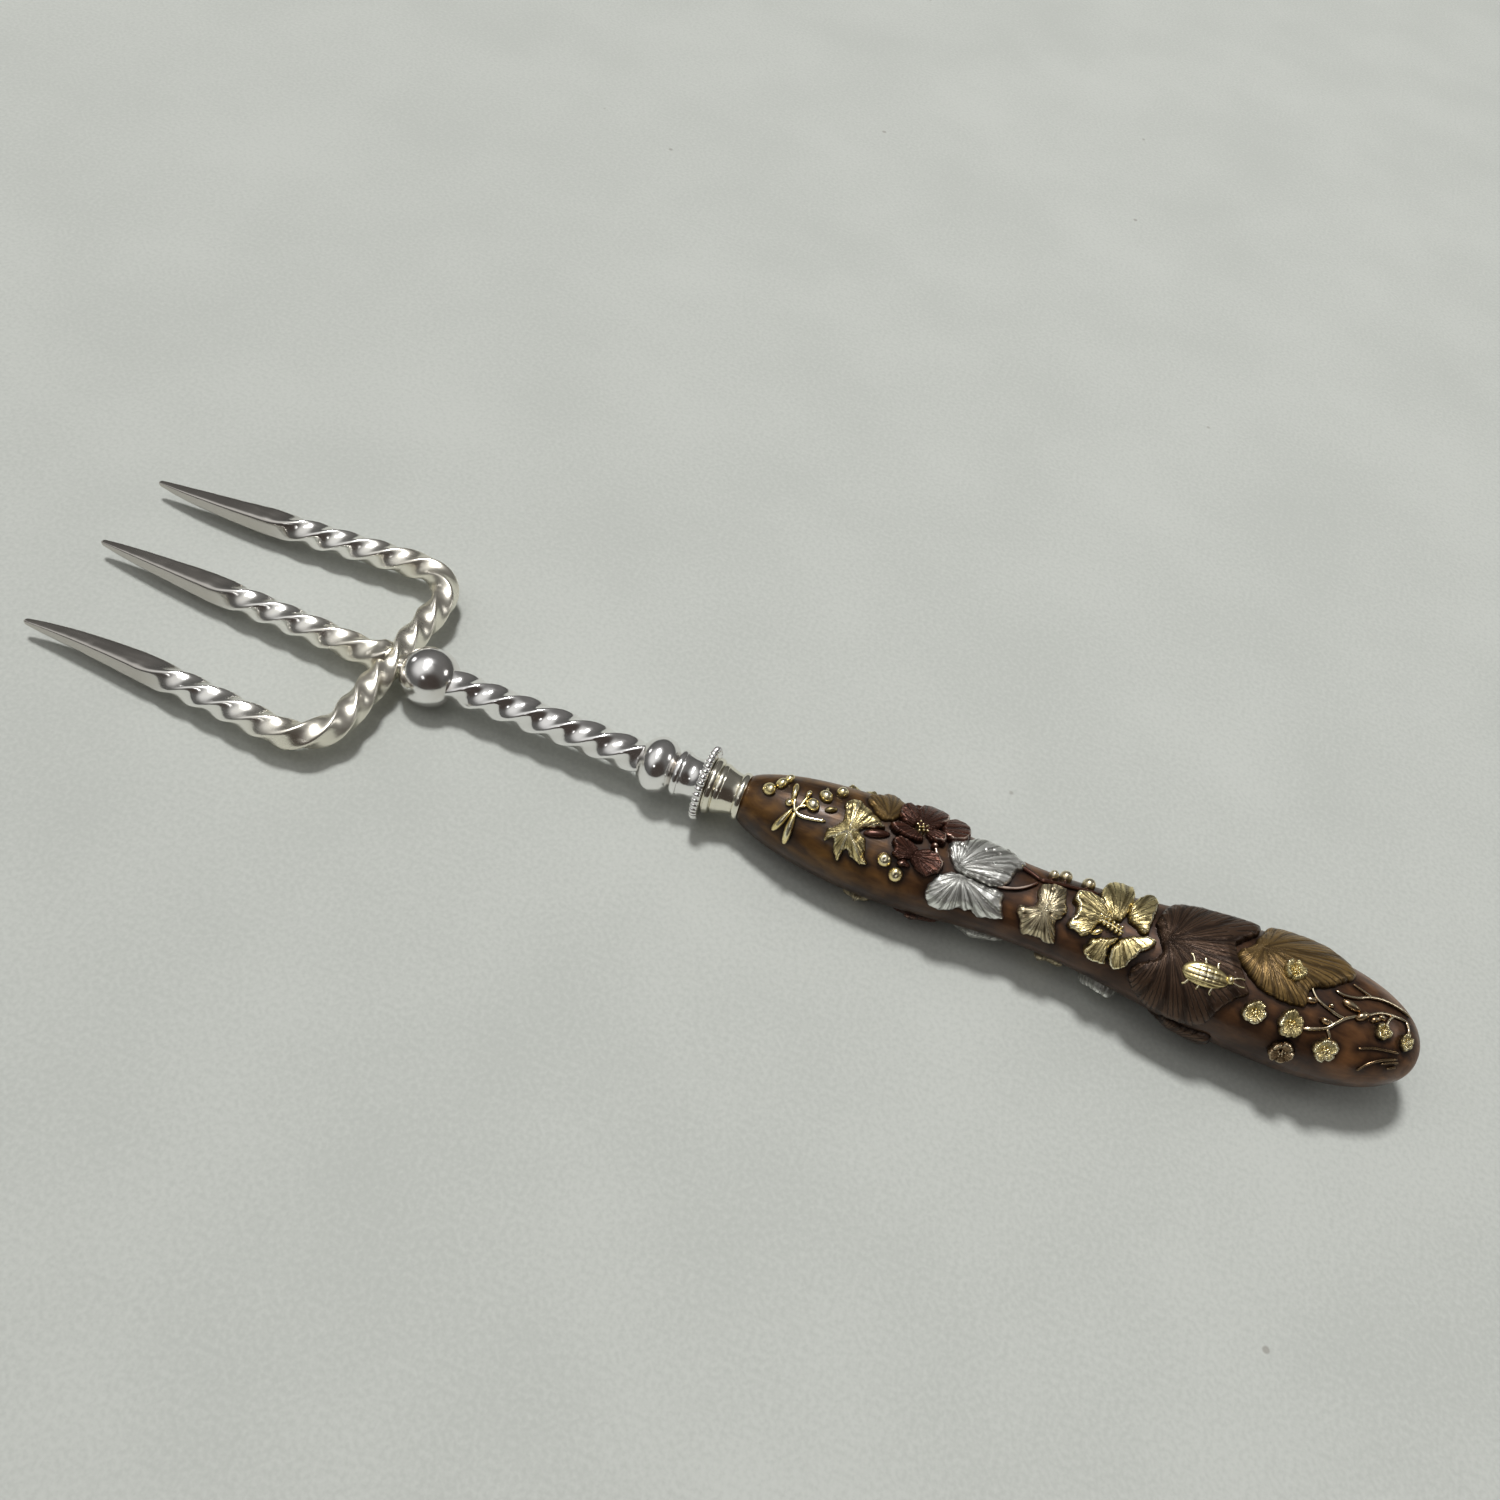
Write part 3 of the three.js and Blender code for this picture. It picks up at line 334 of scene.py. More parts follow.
def silver_material(name, clean, warm, roughness, warm_from=None):
    """Polished silver: light scratches, warm tarnish in the hollows and, if asked, over the yoke.

    The spikes are darker and warmer: partly tarnish, partly painted shade for the dark surroundings they
    reflect. warm_from is where the warm tone begins and is full, along the fork.
    """
    material, tree, shader, place = new_material(name, Metallic=1.0)
    marks = handling(tree, place, 900.0, 120.0)
    edge = attribute(tree, "edge")
    hollow = calc(tree, "MULTIPLY", span(tree, edge, 0.95, 0.6), 0.5)
    tarnish = calc(tree, "MULTIPLY", hollow, marks["Cloud"])
    along = along_fork(tree, place)
    satin = 0.0
    if warm_from:
        near, far = warm_from
        tarnish = calc(tree, "MAXIMUM", tarnish, span(tree, along, near * MM, far * MM, 0.0, 0.8))
        satin = span(tree, along, near * MM, far * MM, 0.0, 0.14)
    # Painted shade with some tarnish: the spikes turn darker and warmer towards their points
    spikes = span(tree, along, SPIKE_TARNISH_AND_SHADE_FROM * MM, SPIKE_TARNISH_AND_SHADE_TO * MM, 0.0, SPIKE_TARNISH_AND_SHADE_SHARE)
    colour = mixed(tree, spikes, mixed(tree, tarnish, clean, warm), SPIKE_TARNISH_AND_SHADE_COLOUR)
    tree.links.new(colour, shader.inputs["Base Color"])
    worn = weighted(tree, (marks["Cloud"], 0.06), (marks["Scratch"], 0.05))
    gloss = calc(tree, "ADD", calc(tree, "ADD", roughness, satin), worn)
    tree.links.new(gloss, shader.inputs["Roughness"])
    dents = noise(tree, place["Object"], 420.0, 2.0)
    height = weighted(tree, (dents, 1.0), (marks["Scratch"], 0.06))
    relief(tree, shader, height, 0.25, 0.12)
    return material


# Fine strokes of the chaser's tool, counted per radian round the leaf's stalk and per millimetre out from it
STRIA_SCALE = (22.0, 0.7, 1.0)
STRIA_DEPTH = 1.0


def ornament_material(
        name, metal, patina, bare, roughness, lines, chase_depth, rub_from, mottle_scale, grain,
        metallic=1.0):
    """Cast and chased metal, dark in its lines and hollows, with painted shade where it meets the handle, and
    rubbed bright on its rims.
    """
    material, tree, shader, place = new_material(name, Metallic=metallic)
    marks = handling(tree, place, 1500.0, mottle_scale)
    fan = add(tree, "ShaderNodeUVMap", uv_map="fan").outputs[0]
    cuts = placed_group(tree, CHASING, {"Fan": fan, "Lines": lines, "Wander": 1.8})
    # hollow holds patina in lines and pits, and painted shade where each piece meets the handle and on pieces
    # underneath
    hollow = attribute(tree, "hollow")
    brushed = add(tree, "ShaderNodeMapping", {"Vector": fan, "Scale": STRIA_SCALE}).outputs[0]
    striae = noise(tree, brushed, 1.0, 3.0)
    dark = calc(tree, "MAXIMUM", calc(tree, "MULTIPLY", cuts["Groove"], 0.8), hollow)
    dark = calc(tree, "MAXIMUM", dark, span(tree, striae, 0.42, 0.28, 0.0, 0.6))
    coat = placed_group(tree, PATINA, {
        "Metal": (*metal, 1),
        "Patina": (*patina, 1),
        "Bare": (*bare, 1),
        "Rub": attribute(tree, "rub"),
        "Hollow": dark,
        "Mottle": marks["Cloud"],
        "Rub From": rub_from,
        "Hollow Depth": 0.85,
    })
    tree.links.new(coat["Colour"], shader.inputs["Base Color"])
    gloss = calc(tree, "SUBTRACT", roughness, calc(tree, "MULTIPLY", coat["Rubbed"], roughness * 0.35))
    gloss = calc(tree, "ADD", gloss, calc(tree, "MULTIPLY", marks["Scratch"], 0.08))
    tree.links.new(gloss, shader.inputs["Roughness"])
    punched = noise(tree, place["Object"], 1600.0, 2.0)
    height = weighted(tree, (cuts["Relief"], chase_depth), (punched, grain), (striae, STRIA_DEPTH))
    relief(tree, shader, height, 0.9, 0.14)
    return material


def bronze_ground_material():
    """The handle's bronze: brown streaks, redder towards the butt, and dark where the hollow attribute says:
    patina and painted shade round the ornament, painted shade on the bulb and down the sides.
    """
    material, tree, shader, place = new_material("handle_bronze_patina_and_shade", Metallic=0.45, Coat_Roughness=0.15)
    marks = handling(tree, place, 700.0, 160.0)
    along = along_fork(tree, place)
    streaks = add(tree, "ShaderNodeMapping", {"Vector": place["Object"], "Scale": (0.35, 1.0, 1.0)})
    grain = noise(tree, streaks.outputs[0], 620.0, 6.0, 0.4)
    patches = noise(tree, place["Object"], 170.0, 5.0, 0.5)
    tone = weighted(tree, (grain, 0.55), (patches, 0.45))
    fresh = mixed(tree, span(tree, tone, 0.30, 0.72), (0.048, 0.019, 0.005), (0.300, 0.142, 0.030))
    red = mixed(tree, span(tree, tone, 0.28, 0.74), (0.072, 0.028, 0.010), (0.380, 0.168, 0.062))
    colour = mixed(tree, span(tree, along, 18 * MM, 42 * MM), fresh, red)
    stains = span(tree, noise(tree, place["Object"], 260.0, 6.0, 0.6), 0.52, 0.68)
    colour = mixed(tree, calc(tree, "MULTIPLY", stains, 0.5), colour, (0.030, 0.013, 0.007))
    # hollow holds painted shade, and patina beside the ornament; below, it darkens the colour
    hollow = attribute(tree, "hollow")
    clouded = calc(tree, "ADD", 0.8, calc(tree, "MULTIPLY", marks["Cloud"], 0.2))
    shade = calc(tree, "MULTIPLY", hollow, clouded)
    tree.links.new(mixed(tree, shade, colour, (0.010, 0.005, 0.004)), shader.inputs["Base Color"])
    gloss = calc(tree, "ADD", 0.34, calc(tree, "MULTIPLY", marks["Cloud"], 0.16))
    tree.links.new(gloss, shader.inputs["Roughness"])
    tree.links.new(span(tree, marks["Cloud"], 0.0, 1.0, 0.22, 0.04), shader.inputs["Coat Weight"])
    height = weighted(tree, (grain, 0.8), (marks["Scratch"], 0.3))
    relief(tree, shader, height, 0.4, 0.12)
    return material


def plain_material(name, dark, light, metallic, roughness, scale):
    """For the pieces inside the handle: brass or cement with a mottled surface."""
    material, tree, shader, place = new_material(name, Metallic=metallic)
    cloud = noise(tree, place["Object"], scale, 4.0)
    tree.links.new(mixed(tree, span(tree, cloud, 0.3, 0.7), dark, light), shader.inputs["Base Color"])
    gloss = calc(tree, "ADD", roughness, calc(tree, "MULTIPLY", cloud, 0.15))
    tree.links.new(gloss, shader.inputs["Roughness"])
    relief(tree, shader, cloud, 0.4, 0.2)
    return material


SILVER = silver_material("polished_silver", (0.94, 0.925, 0.91), (0.44, 0.39, 0.32), 0.10)
YOKE_SILVER = silver_material(
    "yoke_silver", (0.92, 0.905, 0.87), (0.86, 0.81, 0.68), 0.12, warm_from=(-74.0, -58.0))
GILT_SILVER = silver_material("worn_gilt_silver", (0.89, 0.85, 0.72), (0.58, 0.48, 0.27), 0.11)
BRONZE = bronze_ground_material()
GOLD = ornament_material(
    "chased_gold", metal=(0.96, 0.80, 0.40), patina=(0.06, 0.034, 0.012), bare=(0.99, 0.91, 0.66),
    roughness=0.27, lines=38.0, chase_depth=1.2, rub_from=0.62, mottle_scale=260.0, grain=0.22)
PALE_GOLD = ornament_material(
    "pale_gold", metal=(0.76, 0.65, 0.43), patina=(0.05, 0.027, 0.014), bare=(0.97, 0.90, 0.70),
    roughness=0.28, lines=36.0, chase_depth=1.2, rub_from=0.66, mottle_scale=260.0, grain=0.2)
TWIG_GOLD = ornament_material(
    "twig_gold", metal=(0.40, 0.27, 0.15), patina=(0.03, 0.014, 0.008), bare=(0.93, 0.80, 0.56),
    roughness=0.24, lines=30.0, chase_depth=0.3, rub_from=0.74, mottle_scale=260.0, grain=0.2)
LEAF_SILVER = ornament_material(
    "leaf_silver", metal=(0.95, 0.95, 0.90), patina=(0.15, 0.14, 0.12), bare=(0.98, 0.98, 0.94),
    roughness=0.38, lines=30.0, chase_depth=0.8, rub_from=0.72, mottle_scale=180.0, grain=0.1)
LEAF_BRONZE = ornament_material(
    "leaf_bronze", metal=(0.094, 0.054, 0.033), patina=(0.011, 0.0065, 0.005), bare=(0.42, 0.30, 0.20),
    roughness=0.30, lines=85.0, chase_depth=0.7, rub_from=0.90, mottle_scale=120.0, grain=0.1, metallic=0.6)
OLIVE_BRONZE = ornament_material(
    "olive_bronze", metal=(0.270, 0.168, 0.058), patina=(0.022, 0.012, 0.007), bare=(0.54, 0.39, 0.18),
    roughness=0.30, lines=85.0, chase_depth=0.7, rub_from=0.88, mottle_scale=120.0, grain=0.1, metallic=0.6)
COPPER = ornament_material(
    "flower_copper", metal=(0.122, 0.046, 0.028), patina=(0.011, 0.005, 0.004), bare=(0.94, 0.75, 0.62),
    roughness=0.24, lines=32.0, chase_depth=0.9, rub_from=0.76, mottle_scale=200.0, grain=0.1, metallic=0.6)
BRASS = plain_material("tang_brass", (0.42, 0.27, 0.10), (0.62, 0.44, 0.18), 1.0, 0.35, 300.0)
CEMENT = plain_material("pitch_cement", (0.16, 0.13, 0.10), (0.28, 0.24, 0.19), 0.0, 0.75, 500.0)


# Pieces

def placed_object(name, data):
    """A new object in the scene."""
    made = bpy.data.objects.new(name, data)
    bpy.context.scene.collection.objects.link(made)
    return made


def finish_piece(name, mesh, material, node):
    """Lays the mesh down with the fork, and lets it stand for its CAD node."""
    mesh.transform(FORK_LAID)
    mesh.materials.clear()
    mesh.materials.append(material)
    piece = placed_object(name, mesh)
    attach(piece, "root")
    if node:
        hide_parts(node)
    return piece


def closed_mesh(name, points, faces, marks=None, fan=None):
    """A smooth mesh whose faces all point out, with values kept on its points and lines on its UV map."""
    mesh = bpy.data.meshes.new(name)
    mesh.from_pydata(np.asarray(points, float).tolist(), [], faces)
    for label, values in (marks or {}).items():
        kept = mesh.attributes.new(label, "FLOAT", "POINT")
        kept.data.foreach_set("value", np.asarray(values, np.float32))
    if fan is not None:
        corners = np.zeros(len(mesh.loops), np.int32)
        mesh.loops.foreach_get("vertex_index", corners)
        mesh.uv_layers.new(name="fan").data.foreach_set("uv", np.asarray(fan, np.float32)[corners].ravel())
    work = bmesh.new()
    work.from_mesh(mesh)
    bmesh.ops.recalc_face_normals(work, faces=work.faces)
    work.to_mesh(mesh)
    work.free()
    mesh.shade_smooth()
    return mesh


def ring_faces(rows, count):
    """Quads between neighbouring rings of points."""
    faces = []
    for row in range(rows - 1):
        for i in range(count):
            here = row * count + i
            side = row * count + (i + 1) % count
            faces.append((here, side, side + count, here + count))
    return faces


def end_tree(tree, shape, metal, output):
    """Ends a geometry tree with one plain, smooth mesh in its metal."""
    plain = add(tree, "GeometryNodeRealizeInstances", {0: shape})
    smooth = add(tree, "GeometryNodeSetShadeSmooth", {0: plain.outputs[0]})
    done = add(tree, "GeometryNodeSetMaterial", {"Geometry": smooth.outputs[0], "Material": metal})
    tree.links.new(done.outputs[0], output)


# Twisted bars, made by a rule along a path

# Below 1, a spike keeps its thickness for longer and then comes to its point faster
SPIKE_POWER = 0.6


def twisted_bar_tree():
    """A square bar with hollow faces, twisted along its path and drawn out to a spike at its ends."""
    inputs = {
        "Path": "geometry",
        "Corner": "float",
        "Face": "float",
        "Quarter Turns": "float",
        "Start Turn": "float",
        "End Turn": "float",
        "Start Spike": "float",
        "End Spike": "float",
        "Tip Share": "float",
        "Edge Wear": "float",
        "Hammer Marks": "float",
        "Sides": "int",
        "Metal": "material",
    }
    tree, given, out = new_group("twisted_bar", "GeometryNodeTree", inputs, {"Bar": "geometry"})
    small = 1e-6
    along = add(tree, "GeometryNodeSplineParameter").outputs["Length"]
    total = add(tree, "GeometryNodeSplineLength").outputs["Length"]
    behind = calc(tree, "SUBTRACT", total, along)
    ends = []
    for way, spike in ((along, given["Start Spike"]), (behind, given["End Spike"])):
        ends.append(calc(tree, "DIVIDE", calc(tree, "ADD", way, small), calc(tree, "ADD", spike, small)))
    share = calc(tree, "MINIMUM", calc(tree, "MINIMUM", *ends), 1.0)
    grown = calc(tree, "MULTIPLY", calc(tree, "SUBTRACT", 1.0, given["Tip Share"]), share)
    size = calc(tree, "POWER", calc(tree, "ADD", grown, given["Tip Share"]), SPIKE_POWER)
    radius = calc(tree, "MULTIPLY", size, add(tree, "GeometryNodeInputRadius").outputs[0])
    twisted = calc(tree, "SUBTRACT", total, calc(tree, "ADD", given["Start Spike"], given["End Spike"]))
    passed = calc(tree, "DIVIDE", calc(tree, "SUBTRACT", along, given["Start Spike"]), twisted, clamp=True)
    turned = calc(tree, "MULTIPLY", given["Quarter Turns"], math.pi / 2)
    turn = calc(tree, "MULTIPLY", passed, calc(tree, "MULTIPLY", turned, -1.0))
    left = calc(tree, "SUBTRACT", 1.0, passed)

    # The twist begins slowly beside a spike that is rolled on its own
    for way, roll in ((passed, given["Start Turn"]), (left, given["End Turn"])):
        onset = calc(tree, "DIVIDE", calc(tree, "MULTIPLY", calc(tree, "ABSOLUTE", roll), 2.0), turned)
        gone = calc(tree, "DIVIDE", way, calc(tree, "ADD", onset, small), clamp=True)
        rest = calc(tree, "SUBTRACT", 1.0, gone)
        turn = calc(tree, "ADD", turn, calc(tree, "MULTIPLY", roll, calc(tree, "MULTIPLY", rest, rest)))
    path = add(tree, "GeometryNodeSetCurveNormal", {"Curve": given["Path"]}, mode="Z_UP").outputs[0]
    path = add(tree, "GeometryNodeSetCurveRadius", {"Curve": path, "Radius": radius}).outputs[0]
    path = add(tree, "GeometryNodeSetCurveTilt", {"Curve": path, "Tilt": turn}).outputs[0]

    # The section: a square with hollow faces, whose corners are worn round
    circle = add(tree, "GeometryNodeCurvePrimitiveCircle", {"Resolution": given["Sides"], "Radius": 1.0})
    spot = add(tree, "GeometryNodeInputPosition").outputs[0]
    parts = add(tree, "ShaderNodeSeparateXYZ", {0: spot}).outputs
    ratio = calc(tree, "MULTIPLY", math.sqrt(2), calc(tree, "DIVIDE", given["Corner"], given["Face"]))
    inverse = calc(tree, "LOGARITHM", ratio, 2.0)
    power = calc(tree, "DIVIDE", 1.0, inverse)
    worn = calc(tree, "MULTIPLY", given["Edge Wear"], given["Edge Wear"])
    terms = []
    for part in (parts["X"], parts["Y"]):
        soft = calc(tree, "SQRT", calc(tree, "ADD", calc(tree, "MULTIPLY", part, part), worn))
        terms.append(calc(tree, "POWER", soft, power))
    reach = calc(tree, "POWER", calc(tree, "ADD", *terms), calc(tree, "MULTIPLY", inverse, -1.0))
    top = calc(tree, "POWER", calc(tree, "SQRT", calc(tree, "ADD", 1.0, worn)), power)
    floor = calc(tree, "POWER", given["Edge Wear"], power)
    corner_reach = calc(tree, "POWER", calc(tree, "ADD", top, floor), calc(tree, "MULTIPLY", inverse, -1.0))
    edge = calc(tree, "DIVIDE", reach, corner_reach)
    out_by = calc(tree, "MULTIPLY", edge, given["Corner"])
    stored = {"Geometry": circle.outputs[0], "Name": "edge", "Value": edge}
    kept = add(tree, "GeometryNodeStoreNamedAttribute", stored)
    drawn = add(tree, "ShaderNodeVectorMath", {0: spot}, operation="SCALE")
    tree.links.new(out_by, drawn.inputs["Scale"])
    moved = {"Geometry": kept.outputs[0], "Position": drawn.outputs[0]}
    section = add(tree, "GeometryNodeSetPosition", moved)

    bar = add(tree, "GeometryNodeCurveToMesh", {
        "Curve": path,
        "Profile Curve": section.outputs[0],
        "Scale": add(tree, "GeometryNodeInputRadius").outputs[0],
        "Fill Caps": True,
    })
    place = add(tree, "GeometryNodeInputPosition").outputs[0]
    blows = calc(tree, "SUBTRACT", noise(tree, place, 0.35, 2.0), 0.5)
    facing = add(tree, "GeometryNodeInputNormal").outputs[0]
    lift = add(tree, "ShaderNodeVectorMath", {0: facing}, operation="SCALE")
    tree.links.new(calc(tree, "MULTIPLY", blows, given["Hammer Marks"]), lift.inputs["Scale"])
    beaten = add(tree, "GeometryNodeSetPosition", {"Geometry": bar.outputs[0], "Offset": lift.outputs[0]})
    end_tree(tree, beaten.outputs[0], given["Metal"], out["Bar"])
    return tree


def path_object(name, lines, radii):
    """A curve object with one straight-segment line for each list of points."""
    data = bpy.data.curves.new(name, "CURVE")
    data.dimensions = "3D"
    for line, radius in zip(lines, radii):
        spline = data.splines.new("POLY")
        spline.points.add(len(line) - 1)
        for point, spot, wide in zip(spline.points, line, radius):
            point.co = (*spot, 1.0)
            point.radius = wide
    return placed_object(name, data)


def grown_mesh(source, tree, values):
    """Runs a node tree on an object and returns its result as a plain mesh."""
    modifier = source.modifiers.new(tree.name, "NODES")
    modifier.node_group = tree
    for item in tree.interface.items_tree:
        if item.in_out == "INPUT" and item.name in values:
            modifier[item.identifier] = values[item.name]
    graph = bpy.context.evaluated_depsgraph_get()
    made = source.evaluated_get(graph)
    mesh = bpy.data.meshes.new_from_object(made, preserve_all_data_layers=True, depsgraph=graph)
    source.modifiers.remove(modifier)
    bpy.data.objects.remove(source)
    return mesh


def bezier(points, count):
    share = np.linspace(0, 1, count)[:, None]
    a, b, c, d = (np.asarray(p, float) for p in points)
    left = 1 - share
    return a * left ** 3 + 3 * b * share * left ** 2 + 3 * c * share ** 2 * left + d * share ** 3


# How far from its end a spike is rounded off
BLUNT_TIP = 0.55


def even_line(points, spacing, tips=(False, False)):
    """Points at even steps along a line, with closer ones at the tips, and the radius at each."""
    points = np.asarray(points, float)
    steps = np.r_[0, np.cumsum(np.linalg.norm(np.diff(points, axis=0), axis=1))]
    total = steps[-1]
    places = list(np.linspace(0, total, int(total / spacing) + 1))
    nose = BLUNT_TIP * (1 - np.cos(np.linspace(0, np.pi / 2, 9)))
    if tips[0]:
        places = list(nose) + [p for p in places if p > BLUNT_TIP]
    if tips[1]:
        places = [p for p in places if p < total - BLUNT_TIP] + list(total - nose[::-1])
    places = np.array(places)
    line = np.stack([np.interp(places, steps, points[:, axis]) for axis in range(3)], 1)
    radius = np.ones(len(places))
    for tip, away in zip(tips, (places, total - places)):
        if tip:
            near = np.clip(away / BLUNT_TIP, 0, 1)
            radius *= np.maximum(0.04, np.sqrt(1 - (1 - near) ** 2))
    return line, radius, total


# How far a Bezier handle reaches for a quarter circle of radius 1
QUARTER_ARC = 0.5523


def yoke_line():
    """The U of the outer tines, bent by hand, so that its far arm lies nearer the handle."""
    bend_start = yoke_middle - BEND_RADIUS
    crossbar_end = ROOT_SPREAD - BEND_RADIUS
    leg_length = bend_start - tine_tip
    pull = BEND_RADIUS * QUARTER_ARC

    def spot(x, y):
        share = (x - tine_tip) / TINE_REACH
        return (x + YOKE_SLANT * share * y / ROOT_SPREAD, y + YOKE_OFFSET * share, 0.0)

    def leg(side):
        return [
            spot(tine_tip, side * TIP_SPREAD),
            spot(tine_tip + leg_length / 3, side * SPIKE_SPREAD),
            spot(bend_start - leg_length / 3, side * SHOULDER_SPREAD),
            spot(bend_start, side * ROOT_SPREAD),
        ]

    def bend(side):
        return [
            spot(bend_start, side * ROOT_SPREAD),
            spot(bend_start + pull, side * ROOT_SPREAD),
            spot(yoke_middle, side * (crossbar_end + pull)),
            spot(yoke_middle, side * crossbar_end),
        ]

    far, near = (np.vstack([bezier(leg(side), 80), bezier(bend(side), 40)[1:]]) for side in (1, -1))
    return np.vstack([far, near[::-1]])


TWISTED_BAR = twisted_bar_tree()
BAR_SPACING = 0.36
BAR_SIDES = 80
EDGE_WEAR = 0.20
HAMMER_MARKS = 0.12
# How far each spike is rolled about its own line, in degrees
SPIKE_ROLL = -48.0
# The centre tine's root: its gap to the yoke, how much solder thickens it, and where and how that fades
ROOT_GAP = 0.3
ROOT_SWELL = 0.3
SOLDER_START = 0.4
SOLDER_REACH = 1.1
# How far in front of the yoke's middle the centre tine ends
CENTRE_END = 0.4
# How far the shank's bar runs past its own ends, into the knops
SHANK_OVERLAP = 1.2


def twisted_bar(name, node, line, tips, corner, face, spikes, quarters, metal, swell=None, rolls=(0.0, 0.0)):
    """One bar along a line. quarters takes its length and gives its quarter turns."""
    points, radius, total = even_line(line, BAR_SPACING, tips)
    if swell is not None:
        radius = radius * swell(points)
    path = path_object(name + "_path", [points], [radius])
    mesh = grown_mesh(path, TWISTED_BAR, {
        "Corner": corner,
        "Face": face,
        "Quarter Turns": float(quarters(total)),
        "Start Turn": math.radians(rolls[0]),
        "End Turn": math.radians(rolls[1]),
        "Start Spike": spikes[0],
        "End Spike": spikes[1],
        "Tip Share": TIP_SHARE,
        "Edge Wear": EDGE_WEAR,
        "Hammer Marks": HAMMER_MARKS,
        "Sides": BAR_SIDES,
        "Metal": metal,
    })
    return finish_piece(name, mesh, metal, node)


twisted_bar(
    "forged_outer_tines", "outer_tines", yoke_line(), (True, True), TINE_CORNER, TINE_FACE,
    (SPIKE_LENGTH, SPIKE_LENGTH), lambda total: round((total - 2 * SPIKE_LENGTH) / QUARTER_TURN),
    YOKE_SILVER, rolls=(SPIKE_ROLL, -SPIKE_ROLL))

tine_root = yoke_middle - TINE_CORNER - ROOT_GAP
centre_length = tine_root - tine_tip
centre_tip = (
    tine_root - centre_length * math.cos(CENTRE_TINE_LEAN),
    centre_length * math.sin(CENTRE_TINE_LEAN),
    0.0,
)


def solder_swell(points):
    """The centre tine's root is thickened by solder where it meets the yoke."""
    return 1 + ROOT_SWELL * np.exp(-np.maximum(0, tine_root + SOLDER_START - points[:, 0]) / SOLDER_REACH)


centre_end = (yoke_middle - CENTRE_END, 0.0, 0.0)
twisted_bar(
    "forged_centre_tine", "centre_tine", [centre_tip, (tine_root, 0.0, 0.0), centre_end], (True, False),
    TINE_CORNER, TINE_FACE, (SPIKE_LENGTH, 0.0),
    lambda total: (total - SPIKE_LENGTH) / QUARTER_TURN, YOKE_SILVER, solder_swell, (SPIKE_ROLL, 0.0))
shank_line = [(shank_start - SHANK_OVERLAP, 0.0, 0.0), (shank_end + SHANK_OVERLAP, 0.0, 0.0)]
twisted_bar(
    "forged_shank", "shank", shank_line, (False, False), SHANK_CORNER, SHANK_FACE, (0.0, 0.0),
    lambda total: total / QUARTER_TURN, SILVER)


# Turned pieces

TURNED_SIDES = 112


def turned_mesh(name, outline, wobble=0.0):
    """Turns an outline of (place along the axis, radius) round the axis and closes its ends."""
    outline = np.asarray(outline, float)
    angle = np.linspace(0, 2 * np.pi, TURNED_SIDES, endpoint=False)
    rows = len(outline)
    lumps = wobble * (np.sin(3 * angle + 0.7) + 0.6 * np.sin(5 * angle + 2.1) + 0.4 * np.sin(9 * angle))
    points = []
    for i, (x, radius) in enumerate(outline):
        reach = radius + lumps * math.sin(math.pi * i / (rows - 1)) * (1 + 0.5 * math.sin(4.0 * x))
        points.append(np.stack([np.full(TURNED_SIDES, x), reach * np.cos(angle), reach * np.sin(angle)], 1))
    points = np.vstack(points + [[(outline[0][0], 0, 0)], [(outline[-1][0], 0, 0)]])
    faces = ring_faces(rows, TURNED_SIDES)
    first, last = rows * TURNED_SIDES, rows * TURNED_SIDES + 1
    for i in range(TURNED_SIDES):
        side = (i + 1) % TURNED_SIDES
        faces.append((side, i, first))
        faces.append(((rows - 1) * TURNED_SIDES + i, (rows - 1) * TURNED_SIDES + side, last))
    radii = outline[:, 1]
    near = np.array([radii[max(0, i - 6):i + 7].max() for i in range(rows)])
    edge = np.repeat(np.clip(1 - (near - radii) * 0.6, 0, 1), TURNED_SIDES)
    return closed_mesh(name, points, faces, {"edge": np.r_[edge, 1, 1]})


def ball_outline(start, end, radius, end_share, rows=72):
    """An elliptic arc which is cut off where it meets its neighbours."""
    middle = (start + end) / 2
    half = (end - start) / 2 / math.sqrt(1 - end_share ** 2)
    limit = math.asin((end - start) / 2 / half)
    angle = np.linspace(-limit, limit, rows)
    return np.stack([middle + half * np.sin(angle), radius * np.cos(angle)], 1)


def rounded(outline, radius, steps=5):
    """Rounds the corners of an outline by a small radius."""
    outline = [np.asarray(p, float) for p in outline]
    result = [outline[0]]
    for before, corner, after in zip(outline, outline[1:], outline[2:]):
        back, ahead = before - corner, after - corner
        reach = min(radius, np.linalg.norm(back) * 0.45, np.linalg.norm(ahead) * 0.45)
        start = corner + back / np.linalg.norm(back) * reach
        end = corner + ahead / np.linalg.norm(ahead) * reach
        for share in np.linspace(0, 1, steps):
            result.append(start * (1 - share) ** 2 + 2 * corner * share * (1 - share) + end * share ** 2)
    result.append(outline[-1])
    return np.array(result)


def bulged(start, end, radius, height, steps=9):
    """A half-round moulding between two places along the axis."""
    angle = np.linspace(0, np.pi, steps)
    middle, half = (start + end) / 2, (end - start) / 2
    return [(middle - half * math.cos(a), radius + height * math.sin(a)) for a in angle]


def turned_piece(name, node, outline, metal, wobble=0.0):
    return finish_piece(name, turned_mesh(name, outline, wobble), metal, node)


